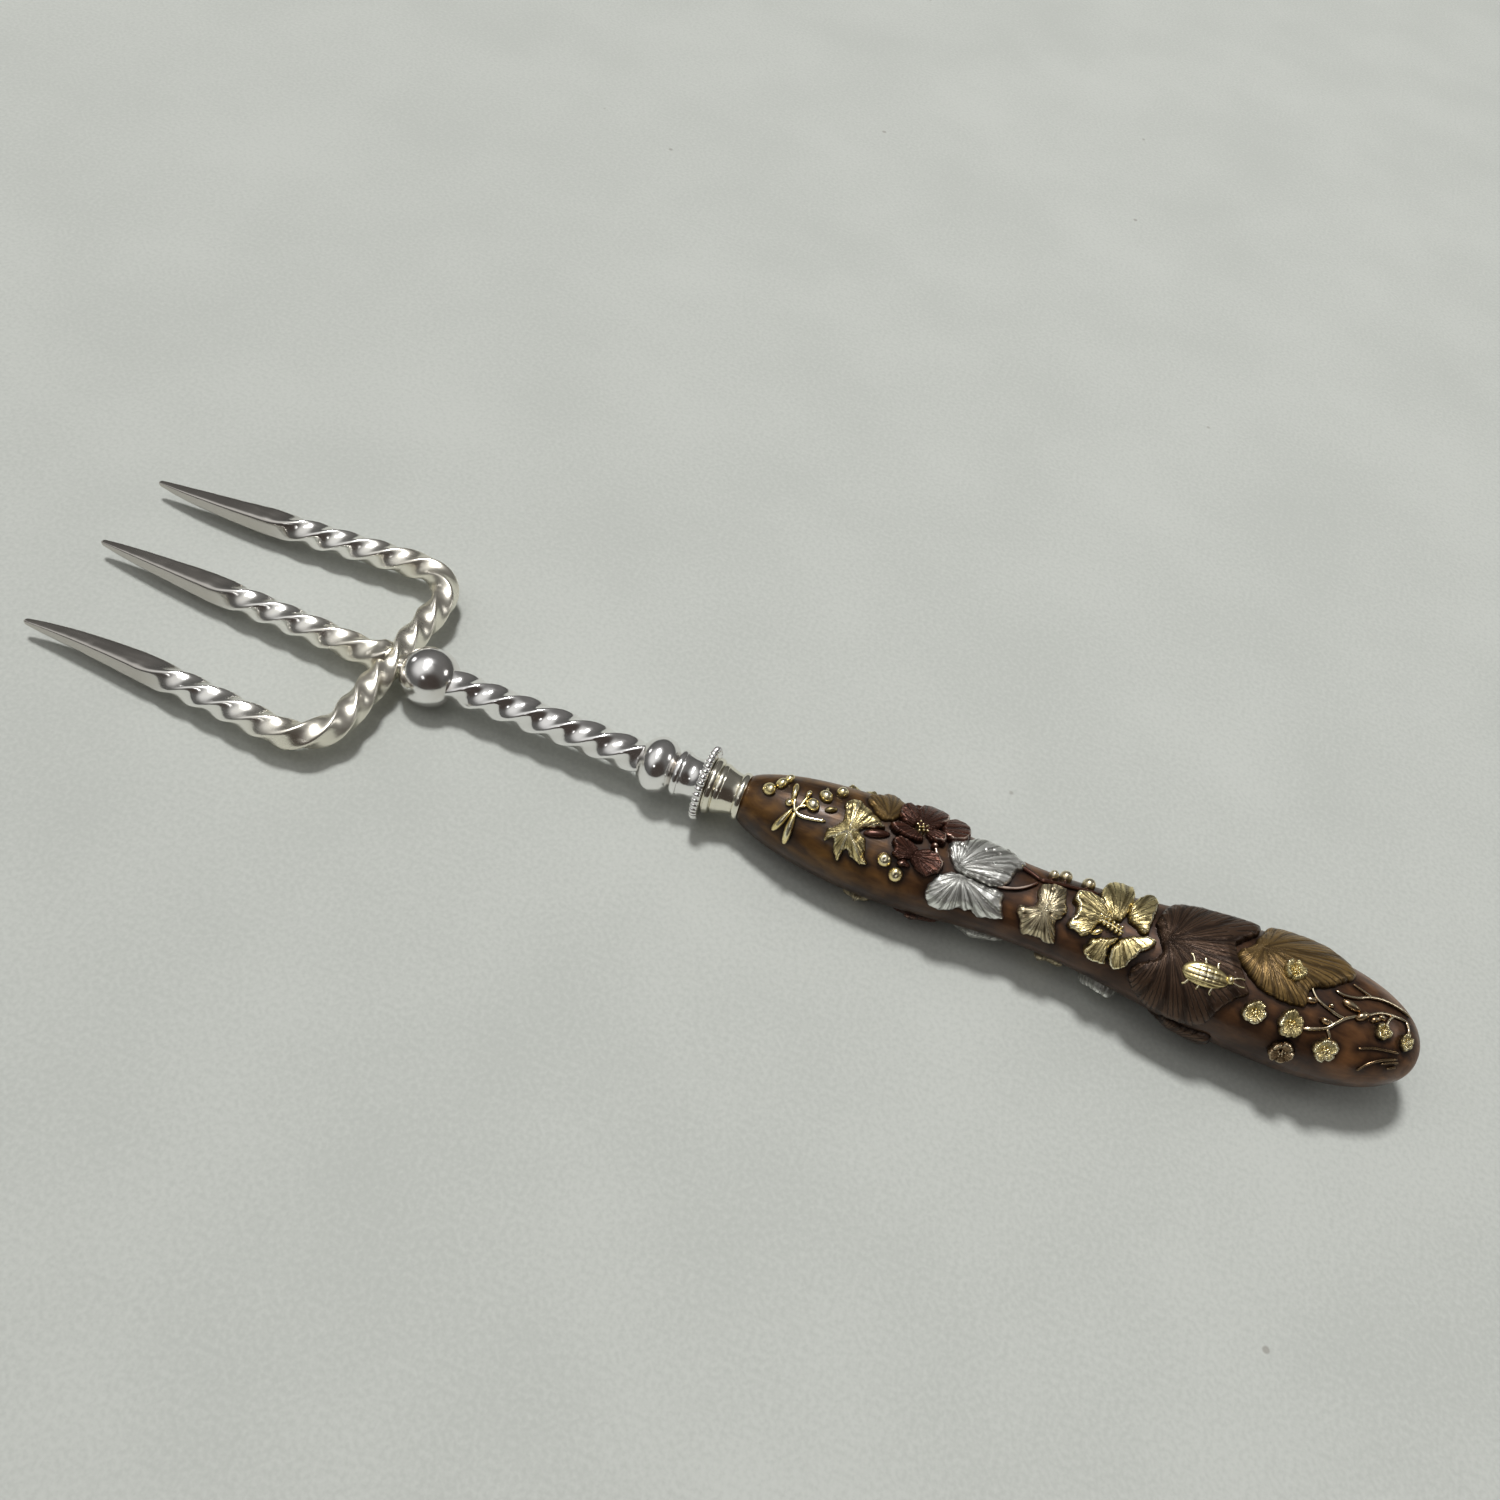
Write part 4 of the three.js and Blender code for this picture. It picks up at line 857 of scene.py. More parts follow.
# How far knops, reel and ferrule run past their own ends, so that their joints look closed
OVERLAP = 0.1
for node, start, end, radius in [
    ("lower_knop", lower_knop_start, lower_knop_end, LOWER_KNOP_RADIUS),
    ("upper_knop", upper_knop_start, upper_knop_end, UPPER_KNOP_RADIUS),
]:
    knop = ball_outline(start - OVERLAP, end + OVERLAP, radius, 0.5)
    turned_piece("turned_" + node, node, knop, SILVER)
solder = rounded([
    (yoke_neck_start - 1.2, 0.9),
    (yoke_neck_start - 0.5, 1.5),
    (yoke_neck_start, YOKE_NECK_RADIUS * 0.98),
    (yoke_neck_end, YOKE_NECK_RADIUS),
    (yoke_neck_end + 0.6, 2.1),
], 0.5)
turned_piece("soldered_neck", "yoke_neck", solder, YOKE_SILVER, 0.09)


def reel_outline():
    """A half-round ring and a cove that widens again towards the collar."""
    ring = REEL_LENGTH / 4
    cove_start = reel_start + ring
    share = np.linspace(0, 1, 24)
    out = REEL_NECK_RADIUS + (REEL_RING_RADIUS - 0.12 - REEL_NECK_RADIUS) * (2 * share - 1) ** 2
    cove = np.stack([cove_start + 0.1 + (REEL_LENGTH - ring - 0.1) * share, out], 1)
    moulding = bulged(reel_start - OVERLAP, cove_start, REEL_RING_RADIUS - ring / 3, ring / 3)
    first, last = (reel_start - OVERLAP, 2.6), (reel_end + OVERLAP, REEL_RING_RADIUS - 0.3)
    return np.vstack([[first], moulding, cove, [last]])


turned_piece("turned_reel", "reel", reel_outline(), SILVER)


def ferrule_outline():
    """Two half-round rings, a cove and a lip that holds the handle's neck."""
    ring = FERRULE_LENGTH / 5
    cove_end = ferrule_end - ring
    cove_start = ferrule_start + 2 * ring
    cove_top = (FERRULE_RING_RADIUS + FERRULE_COVE_RADIUS) / 2
    share = np.linspace(0, 1, 24)
    fall = cove_top + (FERRULE_COVE_RADIUS - cove_top) * np.sin(np.pi / 2 * share)
    cove = np.stack([cove_start + (cove_end - cove_start) * share, fall], 1)
    lip = FERRULE_END_RADIUS - FERRULE_COVE_RADIUS
    return np.vstack([
        [(ferrule_start - OVERLAP, 3.6)],
        bulged(ferrule_start - OVERLAP, ferrule_start + ring, FERRULE_RING_RADIUS - 0.3, 0.3),
        [(ferrule_start + ring + 0.05, cove_top - 0.12)],
        bulged(ferrule_start + ring + 0.1, cove_start - 0.05, cove_top - 0.05, 0.2),
        cove,
        bulged(cove_end + 0.05, ferrule_end + OVERLAP, FERRULE_COVE_RADIUS + lip * 0.3, lip * 0.7, 15),
        [(ferrule_end + 0.12, 2.8)],
    ])


turned_piece("turned_ferrule", "ferrule", ferrule_outline(), GILT_SILVER)


def beaded_rim_tree():
    """Beads set round the rim of a disc that is given to it."""
    inputs = {
        "Disc": "geometry",
        "Bead Count": "int",
        "Ring Radius": "float",
        "Bead Radius": "float",
        "Bead Shape": "vector",
        "Metal": "material",
    }
    tree, given, out = new_group("beaded_rim", "GeometryNodeTree", inputs, {"Collar": "geometry"})
    ring_size = {"Resolution": given["Bead Count"], "Radius": given["Ring Radius"]}
    ring = add(tree, "GeometryNodeCurvePrimitiveCircle", ring_size)
    quarter = (0.0, math.pi / 2, 0.0)
    upright = add(tree, "GeometryNodeTransform", {"Geometry": ring.outputs[0], "Rotation": quarter})
    bead_size = {"Segments": 14, "Rings": 10, "Radius": given["Bead Radius"]}
    ball = add(tree, "GeometryNodeMeshUVSphere", bead_size)
    kept = {"Geometry": ball.outputs[0], "Name": "edge", "Value": 1.0}
    bright = add(tree, "GeometryNodeStoreNamedAttribute", kept)
    bead = add(tree, "GeometryNodeTransform", {"Geometry": bright.outputs[0], "Scale": given["Bead Shape"]})
    seeds = add(tree, "GeometryNodeCurveToPoints", {"Curve": upright.outputs[0]}, mode="EVALUATED")
    on_rim = {"Points": seeds.outputs[0], "Instance": bead.outputs[0]}
    set_on = add(tree, "GeometryNodeInstanceOnPoints", on_rim)
    both = add(tree, "GeometryNodeJoinGeometry")
    tree.links.new(given["Disc"], both.inputs[0])
    tree.links.new(set_on.outputs[0], both.inputs[0])
    end_tree(tree, both.outputs[0], given["Metal"], out["Collar"])
    return tree


def beaded_collar():
    """A thin disc with a bead moulding round its rim."""
    inner = COLLAR_RADIUS - 0.75
    outline = rounded([
        (-collar_face + 0.12, 2.4),
        (-collar_face + 0.12, inner),
        (-collar_face + 0.35, COLLAR_RADIUS - 0.42),
        (collar_face - 0.3, COLLAR_RADIUS - 0.25),
        (collar_face, COLLAR_RADIUS - 0.5),
        (collar_face, 2.4),
    ], 0.12)
    disc = placed_object("collar_disc", turned_mesh("collar_disc", outline))
    mesh = grown_mesh(disc, beaded_rim_tree(), {
        "Bead Count": BEAD_COUNT,
        "Ring Radius": COLLAR_RADIUS - BEAD_RADIUS,
        "Bead Radius": BEAD_RADIUS,
        "Bead Shape": (1.5, 1.0, 1.0),
        "Metal": SILVER,
    })
    return finish_piece("beaded_rim_collar", mesh, SILVER, "beaded_collar")


beaded_collar()


# The handle's surface

def blend(start, end, share):
    return start + (end - start) * (1 - np.cos(np.pi * share)) / 2


def handle_half_width(x):
    """Half the handle's width, from the neck over shoulder, waist and bulb to the butt."""
    x = np.asarray(x, float)
    back = np.clip((shoulder - x) / SHOULDER_LENGTH, 0, 1)
    rise = np.maximum(0, 1 - back ** NECK_SLOPE) ** SHOULDER_ROUNDNESS
    first = NECK_HALF_WIDTH + (SHOULDER_HALF_WIDTH - NECK_HALF_WIDTH) * rise
    second = blend(SHOULDER_HALF_WIDTH, WAIST_HALF_WIDTH, np.clip((x - shoulder) / WAIST_LENGTH, 0, 1))
    third = blend(WAIST_HALF_WIDTH, BULB_HALF_WIDTH, np.clip((x - waist) / BULB_LENGTH, 0, 1))
    past = np.clip((x - bulb) / BUTT_LENGTH, 0, 1)
    last = BULB_HALF_WIDTH * (1 - past ** BUTT_SQUARENESS) ** (1 / BUTT_SQUARENESS)
    return np.select([x <= shoulder, x <= waist, x <= bulb], [first, second, third], last)


def handle_section(x):
    """Half the handle's width and half its depth."""
    wide = np.maximum(handle_half_width(x), 1e-6)
    return wide, wide * blend(1.0, HANDLE_FLATNESS, np.clip((x - neck) / SHOULDER_LENGTH, 0, 1))


def handle_point(x, around, lift):
    """A point on the handle, or lifted off it along the normal of its cross-section."""
    x, around, lift = np.broadcast_arrays(*(np.asarray(value, float) for value in (x, around, lift)))
    angle = np.radians(around)
    wide, deep = handle_section(x)
    side, up = -np.sin(angle) / wide, np.cos(angle) / deep
    size = np.hypot(side, up)
    across = -wide * np.sin(angle) + lift * side / size
    return np.stack([x, across, deep * np.cos(angle) + lift * up / size], -1)


def height_over_handle(points):
    """How far points lie outside the handle's surface, near enough for shading."""
    x, y, z = points.T
    wide, deep = handle_section(x)
    outside = np.hypot(y / wide, z / deep)
    return (outside - 1) * np.hypot(y, z) / np.maximum(outside, 1e-6)


def millimetres_per_degree(x, around):
    """The sheet's scale round the handle at a place on it."""
    ends = [handle_point(neck + x, around + half, 0) for half in (0.5, -0.5)]
    return float(np.linalg.norm(ends[0] - ends[1]))


# Ornament, drawn on a sheet that lies over the handle: millimetres from the neck, and degrees round

# Where each piece sits: its place, millimetres per degree there, and its rim
seated = []
# Rims lie just below the handle's surface, and the undersides of pieces and of domes lie deeper
EMBEDDED = -0.12
BASE_DEPTH = 0.15
DOME_DEPTH = 0.3
# Over how many millimetres a rim is rounded, how dark the painted shade round it is, and where that shade
# fades
RIM_ROUND = 0.55
RIM_SHADE = 0.95
RIM_SHADE_SPAN = (0.02, 0.22)
# Rings of points just inside a rim, and how far from the rim each ring and the grid have to stay
RIM_RINGS = (0.05, 0.13, 0.25, 0.4)
RING_INSETS = (0.045, 0.12, 0.235, 0.38, 0.5)


def smooth_step(value, low, high):
    share = np.clip((value - low) / (high - low), 0, 1)
    return share * share * (3 - 2 * share)


def rim_distance(points, rim):
    """How far points lie from a closed outline, and which of them are inside it."""
    start, end = rim, np.roll(rim, -1, 0)
    way = end - start
    away = points[:, None] - start[None]
    share = np.clip((away * way).sum(-1) / np.maximum((way ** 2).sum(-1), 1e-12), 0, 1)
    distance = np.linalg.norm(away - share[..., None] * way, axis=-1).min(1)
    above = (start[:, 1] > points[:, None, 1]) != (end[:, 1] > points[:, None, 1])
    slope = np.where(np.abs(way[:, 1]) < 1e-12, 1e-12, way[:, 1])
    crossing = start[:, 0] + (points[:, None, 1] - start[:, 1]) * way[:, 0] / slope
    inside = (above & (points[:, None, 0] < crossing)).sum(1) % 2 == 1
    return distance, inside


def spline_step(a, b, c, d, share):
    """The part from b to c of a smooth line through four places."""
    bend = 2 * a - 5 * b + 4 * c - d
    sway = 3 * b - a - 3 * c + d
    return 0.5 * (2 * b + (c - a) * share + bend * share ** 2 + sway * share ** 3)


def closed_spline(places, count=10):
    """A smooth closed line through places on the sheet."""
    places = np.asarray(places, float)
    share = np.linspace(0, 1, count, endpoint=False)[:, None]
    line = []
    for i in range(len(places)):
        corners = [places[(i + step) % len(places)] for step in (-1, 0, 1, 2)]
        line.append(spline_step(*corners, share))
    return np.vstack(line)


def even_loop(rim, spacing):
    """The same closed line with its points at even steps."""
    loop = np.vstack([rim, rim[:1]])
    steps = np.r_[0, np.cumsum(np.linalg.norm(np.diff(loop, axis=0), axis=1))]
    count = max(12, int(round(steps[-1] / spacing)))
    places = np.linspace(0, steps[-1], count, endpoint=False)
    return np.stack([np.interp(places, steps, loop[:, axis]) for axis in range(2)], 1)


def rim_sides(rim):
    """Directions to the right of a closed line, at each of its points."""
    way = np.roll(rim, -1, 0) - np.roll(rim, 1, 0)
    return np.stack([way[:, 1], -way[:, 0]], 1) / np.maximum(np.linalg.norm(way, axis=1), 1e-9)[:, None]


def fan_map(points, root):
    """Angle round the root of a leaf or petal, and millimetres out from it."""
    away = points - root
    middle = points.mean(0) - root
    facing = math.atan2(middle[1], middle[0])
    angle = np.arctan2(away[:, 1], away[:, 0]) - facing
    return np.stack([(angle + np.pi) % (2 * np.pi), np.hypot(away[:, 0], away[:, 1])], 1)


def from_middle(place, x, around, per_degree):
    """A place on the sheet, in millimetres from another one."""
    return np.array([place[0] - x, (place[1] - around) * per_degree])


def spot_from(x, around, per_degree, reach, angle):
    """The place on the sheet at a reach in millimetres and a direction from another one."""
    return x + reach * math.cos(angle), around + reach * math.sin(angle) / per_degree


def sheet_points(x, around, per_degree, spots, lift):
    """Points on the handle for spots in millimetres about a place on the sheet."""
    return handle_point(neck + x + spots[:, 0], around + spots[:, 1] / per_degree, lift)


def cut_patch(x, around, rim, height, root, spacing):
    """One closed raised piece, cut to a rim in millimetres about a place on the sheet.

    height takes points in millimetres and how far they lie inside the rim, and gives their lift, rub
    and hollow. root is where chased lines fan out from, on the sheet.
    """
    per_degree = millimetres_per_degree(x, around)
    rim = even_loop(rim, spacing * 0.8)
    count = len(rim)
    ahead = np.roll(rim, -1, 0)
    area = (rim[:, 0] * ahead[:, 1] - ahead[:, 0] * rim[:, 1]).sum()
    inward = -rim_sides(rim) * np.sign(area)
    tries = [rim + inward * step for step in RIM_RINGS]
    low, high = rim.min(0), rim.max(0)
    columns = np.arange(low[0], high[0], spacing)
    lines = np.arange(low[1], high[1], spacing * 0.87)
    shifts = [spacing / 2 if i % 2 else 0 for i in range(len(lines))]
    grid = np.array([(column + shift, line) for line, shift in zip(lines, shifts) for column in columns])
    inner = []
    for step, candidates in zip(RING_INSETS, [*tries, grid]):
        distance, inside = rim_distance(candidates, rim)
        inner.append(candidates[inside & (distance > step)])
    inner = np.vstack(inner)
    flat = [Vector(p) for p in np.vstack([rim, inner])]
    made = delaunay_2d_cdt(flat, [], [list(range(count))], 1, 1e-7)
    top = np.array([(v.x, v.y) for v in made[0]])
    faces = [tuple(face) for face in made[2]]
    base = delaunay_2d_cdt(flat[:count], [], [list(range(count))], 1, 1e-7)
    first = len(top)
    faces += [tuple(first + corner for corner in reversed(face)) for face in base[2]]
    faces += [(i, first + i, first + (i + 1) % count, (i + 1) % count) for i in range(count)]
    inset = np.where(np.arange(first) < count, 0, rim_distance(top, rim)[0])
    lift, rub, hollow = height(top, inset)
    lift = EMBEDDED + (lift - EMBEDDED) * np.sqrt(1 - (1 - np.clip(inset / RIM_ROUND, 0, 1)) ** 2)
    # Painted shade in the crevice where a piece's rim meets the handle
    hollow = np.maximum(hollow, RIM_SHADE * (1 - smooth_step(inset, *RIM_SHADE_SPAN)))
    points = np.vstack([
        sheet_points(x, around, per_degree, top, lift),
        sheet_points(x, around, per_degree, rim, EMBEDDED - BASE_DEPTH),
    ])
    place = from_middle(root, x, around, per_degree)
    seated.append((x, around, per_degree, rim))
    return {
        "points": points,
        "faces": faces,
        "fan": np.vstack([fan_map(top, place), np.zeros((count, 2))]),
        "rub": np.r_[rub, np.zeros(count)],
        "hollow": np.r_[hollow, np.ones(count)],
    }


def hand_cut(rim, phase):
    """The same outline with the small unevenness of an edge cut by hand."""
    spacing = 0.2
    rim = even_loop(rim, spacing)
    length = spacing * len(rim)
    turn = 2 * np.pi * np.arange(len(rim)) / len(rim)
    long_waves = 0.05 * np.sin(round(length / 1.7) * turn + phase)
    waves = long_waves + 0.035 * np.sin(round(length / 0.95) * turn + 2 * phase)
    return rim + rim_sides(rim) * waves[:, None]


def sheet_frame(outline):
    """The middle of an outline on the sheet, its scale round the handle, and its rim in millimetres."""
    places = closed_spline(outline)
    x, around = (places.min(0) + places.max(0)) / 2
    per_degree = millimetres_per_degree(x, around)
    rim = np.stack([places[:, 0] - x, (places[:, 1] - around) * per_degree], 1)
    return x, around, per_degree, hand_cut(rim, x + around)


def ornament_piece(name, node, patches, metal):
    """Joins patches, domes and wires into one piece."""
    points, faces, fans, rubs, hollows = [], [], [], [], []
    first = 0
    for part in patches:
        points.append(part["points"])
        faces += [tuple(corner + first for corner in face) for face in part["faces"]]
        fans.append(part["fan"])
        rubs.append(part["rub"])
        hollows.append(part["hollow"])
        first += len(part["points"])
    marks = {"rub": np.concatenate(rubs), "hollow": np.concatenate(hollows)}
    mesh = closed_mesh(name, np.vstack(points), faces, marks, np.vstack(fans))
    return finish_piece(name, mesh, metal, node)


# How far apart the points of a leaf and of a petal lie
LEAF_SPACING = 0.18
PETAL_SPACING = 0.19
# Cast heights of a leaf's edge, a petal's edge and a leaf's crown, as multiples of the given ones
LEAF_EDGE_GROWTH = 1.4
PETAL_EDGE_GROWTH = 1.25
CROWN_GROWTH = 1.25
VEIN_WIDTH = 0.2
VEIN_RISE = 0.22
VEIN_SINK = 0.06
PIT_DEPTH = 0.45
# Where rims are rubbed bright: millimetres in from the edge, and how widely
LEAF_RUB = (0.3, 0.18)
PETAL_RUB = (0.34, 0.15)


def rubbed_rim(inset, middle, width):
    return np.exp(-((inset - middle) / width) ** 2)


def leaf(outline, root, tips=(), edge=LEAF_EDGE, crown=LEAF_CROWN, lines=22.0, depth=0.08, swell=0.16,
         raised=False, pits=(), seat_lift=SEAT_GAP, dullness_and_shade=0.0):
    """A leaf drawn by its outline, with veins from its root to the tips and finer lines between them."""
    x, around, per_degree, rim = sheet_frame(outline)
    start = from_middle(root, x, around, per_degree)

    def height(points, inset):
        away = points - start
        out = np.hypot(away[:, 0], away[:, 1])
        angle = np.arctan2(away[:, 1], away[:, 0])
        ribs = np.cos(lines * angle + 0.8 * np.sin(0.8 * out + 2 * angle))
        grooves = smooth_step(ribs, 0.35, 0.95) * smooth_step(out, 0.5, 2.4)
        veins = np.zeros(len(points))
        for tip in tips:
            way = from_middle(tip, x, around, per_degree) - start
            reach = np.hypot(*way)
            way = way / reach
            ahead = away @ way
            aside = np.abs(away[:, 1] * way[0] - away[:, 0] * way[1])
            on_vein = smooth_step(ahead, -0.3, 0.4) * (1 - smooth_step(ahead, 0.75 * reach, reach))
            veins = np.maximum(veins, np.exp(-(aside / VEIN_WIDTH) ** 2) * on_vein)
        full = smooth_step(inset, 0.0, 1.6)
        lift = seat_lift + LEAF_EDGE_GROWTH * edge + CROWN_GROWTH * crown * full + swell * full * (1 - veins)
        lift += (VEIN_RISE if raised else -VEIN_SINK) * veins
        lift -= depth * grooves * smooth_step(inset, 0.1, 0.5)
        sunk = np.zeros(len(points))
        for pit_x, pit_round, pit_size in pits:
            gap = points - from_middle((pit_x, pit_round), x, around, per_degree)
            sunk = np.maximum(sunk, np.exp(-(gap ** 2).sum(1) / pit_size ** 2))
        lift -= PIT_DEPTH * sunk
        rim_rub = rubbed_rim(inset, *LEAF_RUB)
        rub = 0.62 * rim_rub + 0.3 * full * (1 - grooves)
        rub = np.maximum(rub, 0.8 * veins) if raised else rub * (1 - 0.6 * veins)
        # The dull value darkens a whole piece and takes its rub away: a duller tone, and painted shade for a
        # piece underneath
        hollow = np.maximum(np.maximum(0.8 * grooves, dullness_and_shade), sunk)
        if not raised:
            hollow = np.maximum(hollow, 0.8 * veins)
        return lift, rub * (1 - sunk) * (1 - dullness_and_shade), hollow

    return cut_patch(x, around, rim, height, root, LEAF_SPACING)


def petal(outline, root, edge=LEAF_EDGE, cup=0.4, crown=0.1, lines=15.0, depth=0.06, seat_lift=SEAT_GAP,
          wave=0.05, spacing=PETAL_SPACING, full=1.24):
    """A petal drawn by its outline, with a raised rim and lines that fan out from the flower's middle."""
    x, around, per_degree, rim = sheet_frame(fuller(outline, full))
    start = from_middle(root, x, around, per_degree)

    def height(points, inset):
        away = points - start
        out = np.hypot(away[:, 0], away[:, 1])
        angle = np.arctan2(away[:, 1], away[:, 0])
        ribs = np.cos(lines * angle + 0.5 * np.sin(1.2 * out))
        grooves = smooth_step(ribs, 0.35, 1.0) * smooth_step(out, 0.3, 1.2)
        tilt = smooth_step(out, 0.0, max(1.5, out.max()))
        lift = seat_lift + PETAL_EDGE_GROWTH * edge + cup * np.exp(-inset / 0.55) * tilt
        lift += crown * smooth_step(inset, 0.0, 1.5) + 0.5 * tilt
        lift += wave * np.cos(7 * angle + x) * np.exp(-inset / 0.8)
        lift -= depth * grooves * smooth_step(inset, 0.15, 0.6)
        rim_rub = rubbed_rim(inset, *PETAL_RUB)
        return lift, 0.12 + 0.78 * rim_rub * (0.4 + 0.6 * tilt), np.maximum(0.85 * grooves, 0.6 * (1 - tilt))

    return cut_patch(x, around, rim, height, root, spacing)


def fuller(outline, share):
    """The same outline, grown about its middle."""
    places = np.asarray(outline, float)
    middle = (places.min(0) + places.max(0)) / 2
    return [tuple(place) for place in middle + (places - middle) * share]


def oval_rim(long, wide, slant, steps, egg=0.0):
    """An oval, or an egg shape that is wider towards its far end."""
    angle = np.linspace(0, 2 * np.pi, steps, endpoint=False)
    along = long / 2 * np.cos(angle)
    across = wide / 2 * np.sin(angle) * (1 + egg * np.cos(angle))
    turn = math.radians(slant)
    return np.stack([
        along * math.cos(turn) - across * math.sin(turn),
        along * math.sin(turn) + across * math.cos(turn),
    ], 1)


def dome(x, around, long, wide, slant=0.0, tall=None, base=0.2, steps=40, rows=12, pit=0.0, seat=EMBEDDED,
         dullness_and_shade=0.0, egg=0.0):
    """A berry, bud or bead, as rings that close over its top."""
    rim = oval_rim(long, wide, slant, steps, egg)
    rise = wide / 2 + SEAT_GAP if tall is None else tall
    per_degree = millimetres_per_degree(x, around)
    shares = np.cos(np.linspace(0, np.pi / 2, rows, endpoint=False))
    spots = np.vstack([*(rim * share for share in shares), [(0.0, 0.0)]])
    share = np.r_[np.repeat(shares, steps), 0.0]
    lift = base + rise * np.sqrt(1 - share ** 2) - pit * np.exp(-(share / 0.22) ** 2)
    lift = np.where(share > 0.9999, seat, lift)
    points = sheet_points(x, around, per_degree, spots, lift)
    below = handle_point(neck + x, around, seat - DOME_DEPTH)[None]
    faces = ring_faces(rows, steps)
    centre, under = rows * steps, rows * steps + 1
    for i in range(steps):
        side = (i + 1) % steps
        faces.append(((rows - 1) * steps + i, (rows - 1) * steps + side, centre))
        faces.append((side, i, under))
    seated.append((x, around, per_degree, rim))
    return {
        "points": np.vstack([points, below]),
        "faces": faces,
        "fan": np.zeros((len(points) + 1, 2)),
        "rub": np.r_[(0.95 - 0.7 * share) * (1 - dullness_and_shade), 0.0],
        # Painted shade round the dome's foot, where it meets the handle
        "hollow": np.r_[np.maximum(dullness_and_shade, 0.5 * smooth_step(share, 0.85, 1.0)), 1.0],
    }


def ring_spots(x, around, radius, count, turn=0.0):
    """Places on the sheet at even steps round a place, with their directions."""
    per_degree = millimetres_per_degree(x, around)
    spots = []
    for i in range(count):
        angle = math.radians(turn + 360 * i / count)
        spots.append((*spot_from(x, around, per_degree, radius, angle), angle))
    return spots


def round_petals(x, around, petals, radius, turn=0.0, edge=0.4, cup=0.3, lift=SEAT_GAP, spacing=0.2):
    """Rounded petals set side by side about a middle."""
    parts = []
    per_degree = millimetres_per_degree(x, around)
    for i, (spot_x, spot_round, angle) in enumerate(ring_spots(x, around, radius * 0.56, petals, turn)):
        grown = radius * (1 + 0.14 * math.sin(2.6 * i + x + around))
        lean = math.degrees(angle) + 14 * math.sin(4.1 * i + x)
        rim = oval_rim(grown * 0.98, grown * 1.02, lean, 14, 0.2)
        outline = [(spot_x + p[0], spot_round + p[1] / per_degree) for p in rim]
        middle = (x, around)
        parts.append(petal(outline, middle, edge, cup, 0.15, 14.0, 0.06, lift, spacing=spacing, full=1.08))
    return parts


GRANULES = 7


def plum_blossom(x, around, radius, turn=0.0, seat_lift=SEAT_GAP):
    """A small blossom: round petals about a middle of fine granules."""
    parts = round_petals(x, around, 5, radius, turn, 0.36, 0.32, seat_lift, 0.17)
    per_degree = millimetres_per_degree(x, around)
    for i in range(GRANULES):
        angle = 2.4 * i + math.radians(turn)
        reach = radius * 0.36 * math.sqrt((i + 0.1) / GRANULES)
        spot = spot_from(x, around, per_degree, reach, angle)
        size = 0.5 if i == 0 else 0.36
        parts.append(dome(*spot, size, size, 0.0, 0.3, seat_lift + 0.42, steps=12, rows=5))
    return parts


# Wires, drawn along the handle

def wire_tree():
    """Round wire along each line of a path."""
    inputs = {"Path": "geometry", "Wire Radius": "float", "Sides": "int", "Metal": "material"}
    tree, given, out = new_group("drawn_wire", "GeometryNodeTree", inputs, {"Wire": "geometry"})
    size = {"Resolution": given["Sides"], "Radius": given["Wire Radius"]}
    circle = add(tree, "GeometryNodeCurvePrimitiveCircle", size)
    wire = add(tree, "GeometryNodeCurveToMesh", {
        "Curve": given["Path"],
        "Profile Curve": circle.outputs[0],
        "Scale": add(tree, "GeometryNodeInputRadius").outputs[0],
        "Fill Caps": True,
    })
    end_tree(tree, wire.outputs[0], given["Metal"], out["Wire"])
    return tree


WIRE = wire_tree()
WIRE_SIDES = 12


def spline_through(places, count):
    """A smooth line through places on the sheet."""
    places = np.asarray(places, float)
    ends = np.vstack([2 * places[0] - places[1], places, 2 * places[-1] - places[-2]])
    share = np.linspace(0, 1, count, endpoint=False)[:, None]
    line = [spline_step(*ends[i - 1:i + 3], share) for i in range(1, len(ends) - 2)]
    return np.vstack(line + [places[-1:]])


def wires(stems, lie=SEAT_GAP, dullness_and_shade=0.0):
    """Wires as one part. Each stem is (places, radius at its root, radius at its tip)."""
    lines, radii = [], []
    for places, thick, thin in stems:
        line = spline_through(places, 14)
        share = np.linspace(0, 1, len(line))
        taper = np.minimum(1, 14 * share + 0.1) * np.minimum(1, 14 * (1 - share) + 0.1)
        radius = (thick + (thin - thick) * share) * np.sqrt(taper)
        lines.append(handle_point(neck + line[:, 0], line[:, 1], lie + radius * 0.5))
        radii.append(radius)
        for spot in line[::5]:
            per_degree = millimetres_per_degree(*spot)
            seated.append((spot[0], spot[1], per_degree, oval_rim(2 * thick, 2 * thick, 0, 10)))
    path = path_object("stem_path", lines, radii)
    mesh = grown_mesh(path, WIRE, {"Wire Radius": 1.0, "Sides": WIRE_SIDES, "Metal": GOLD})
    points = np.zeros(len(mesh.vertices) * 3)
    mesh.vertices.foreach_get("co", points)
    points = points.reshape(-1, 3)
    faces = [tuple(face.vertices) for face in mesh.polygons]
    bpy.data.meshes.remove(mesh)
    thick = stems[0][1]
    lift = height_over_handle(points) - lie
    return {
        "points": points,
        "faces": faces,
        "fan": np.zeros((len(points), 2)),
        "rub": 0.9 * (1 - dullness_and_shade) * smooth_step(lift, 0.6 * thick, 1.5 * thick),
        # Painted shade on each wire's lower half, where it lies against the handle
        "hollow": np.maximum(dullness_and_shade, 1 - smooth_step(lift, 0.0, 1.1 * thick)),
    }


def cast(node, metal, patches):
    """A cast piece that stands for the CAD node of its name."""
    return ornament_piece("cast_" + node, node, patches, metal)


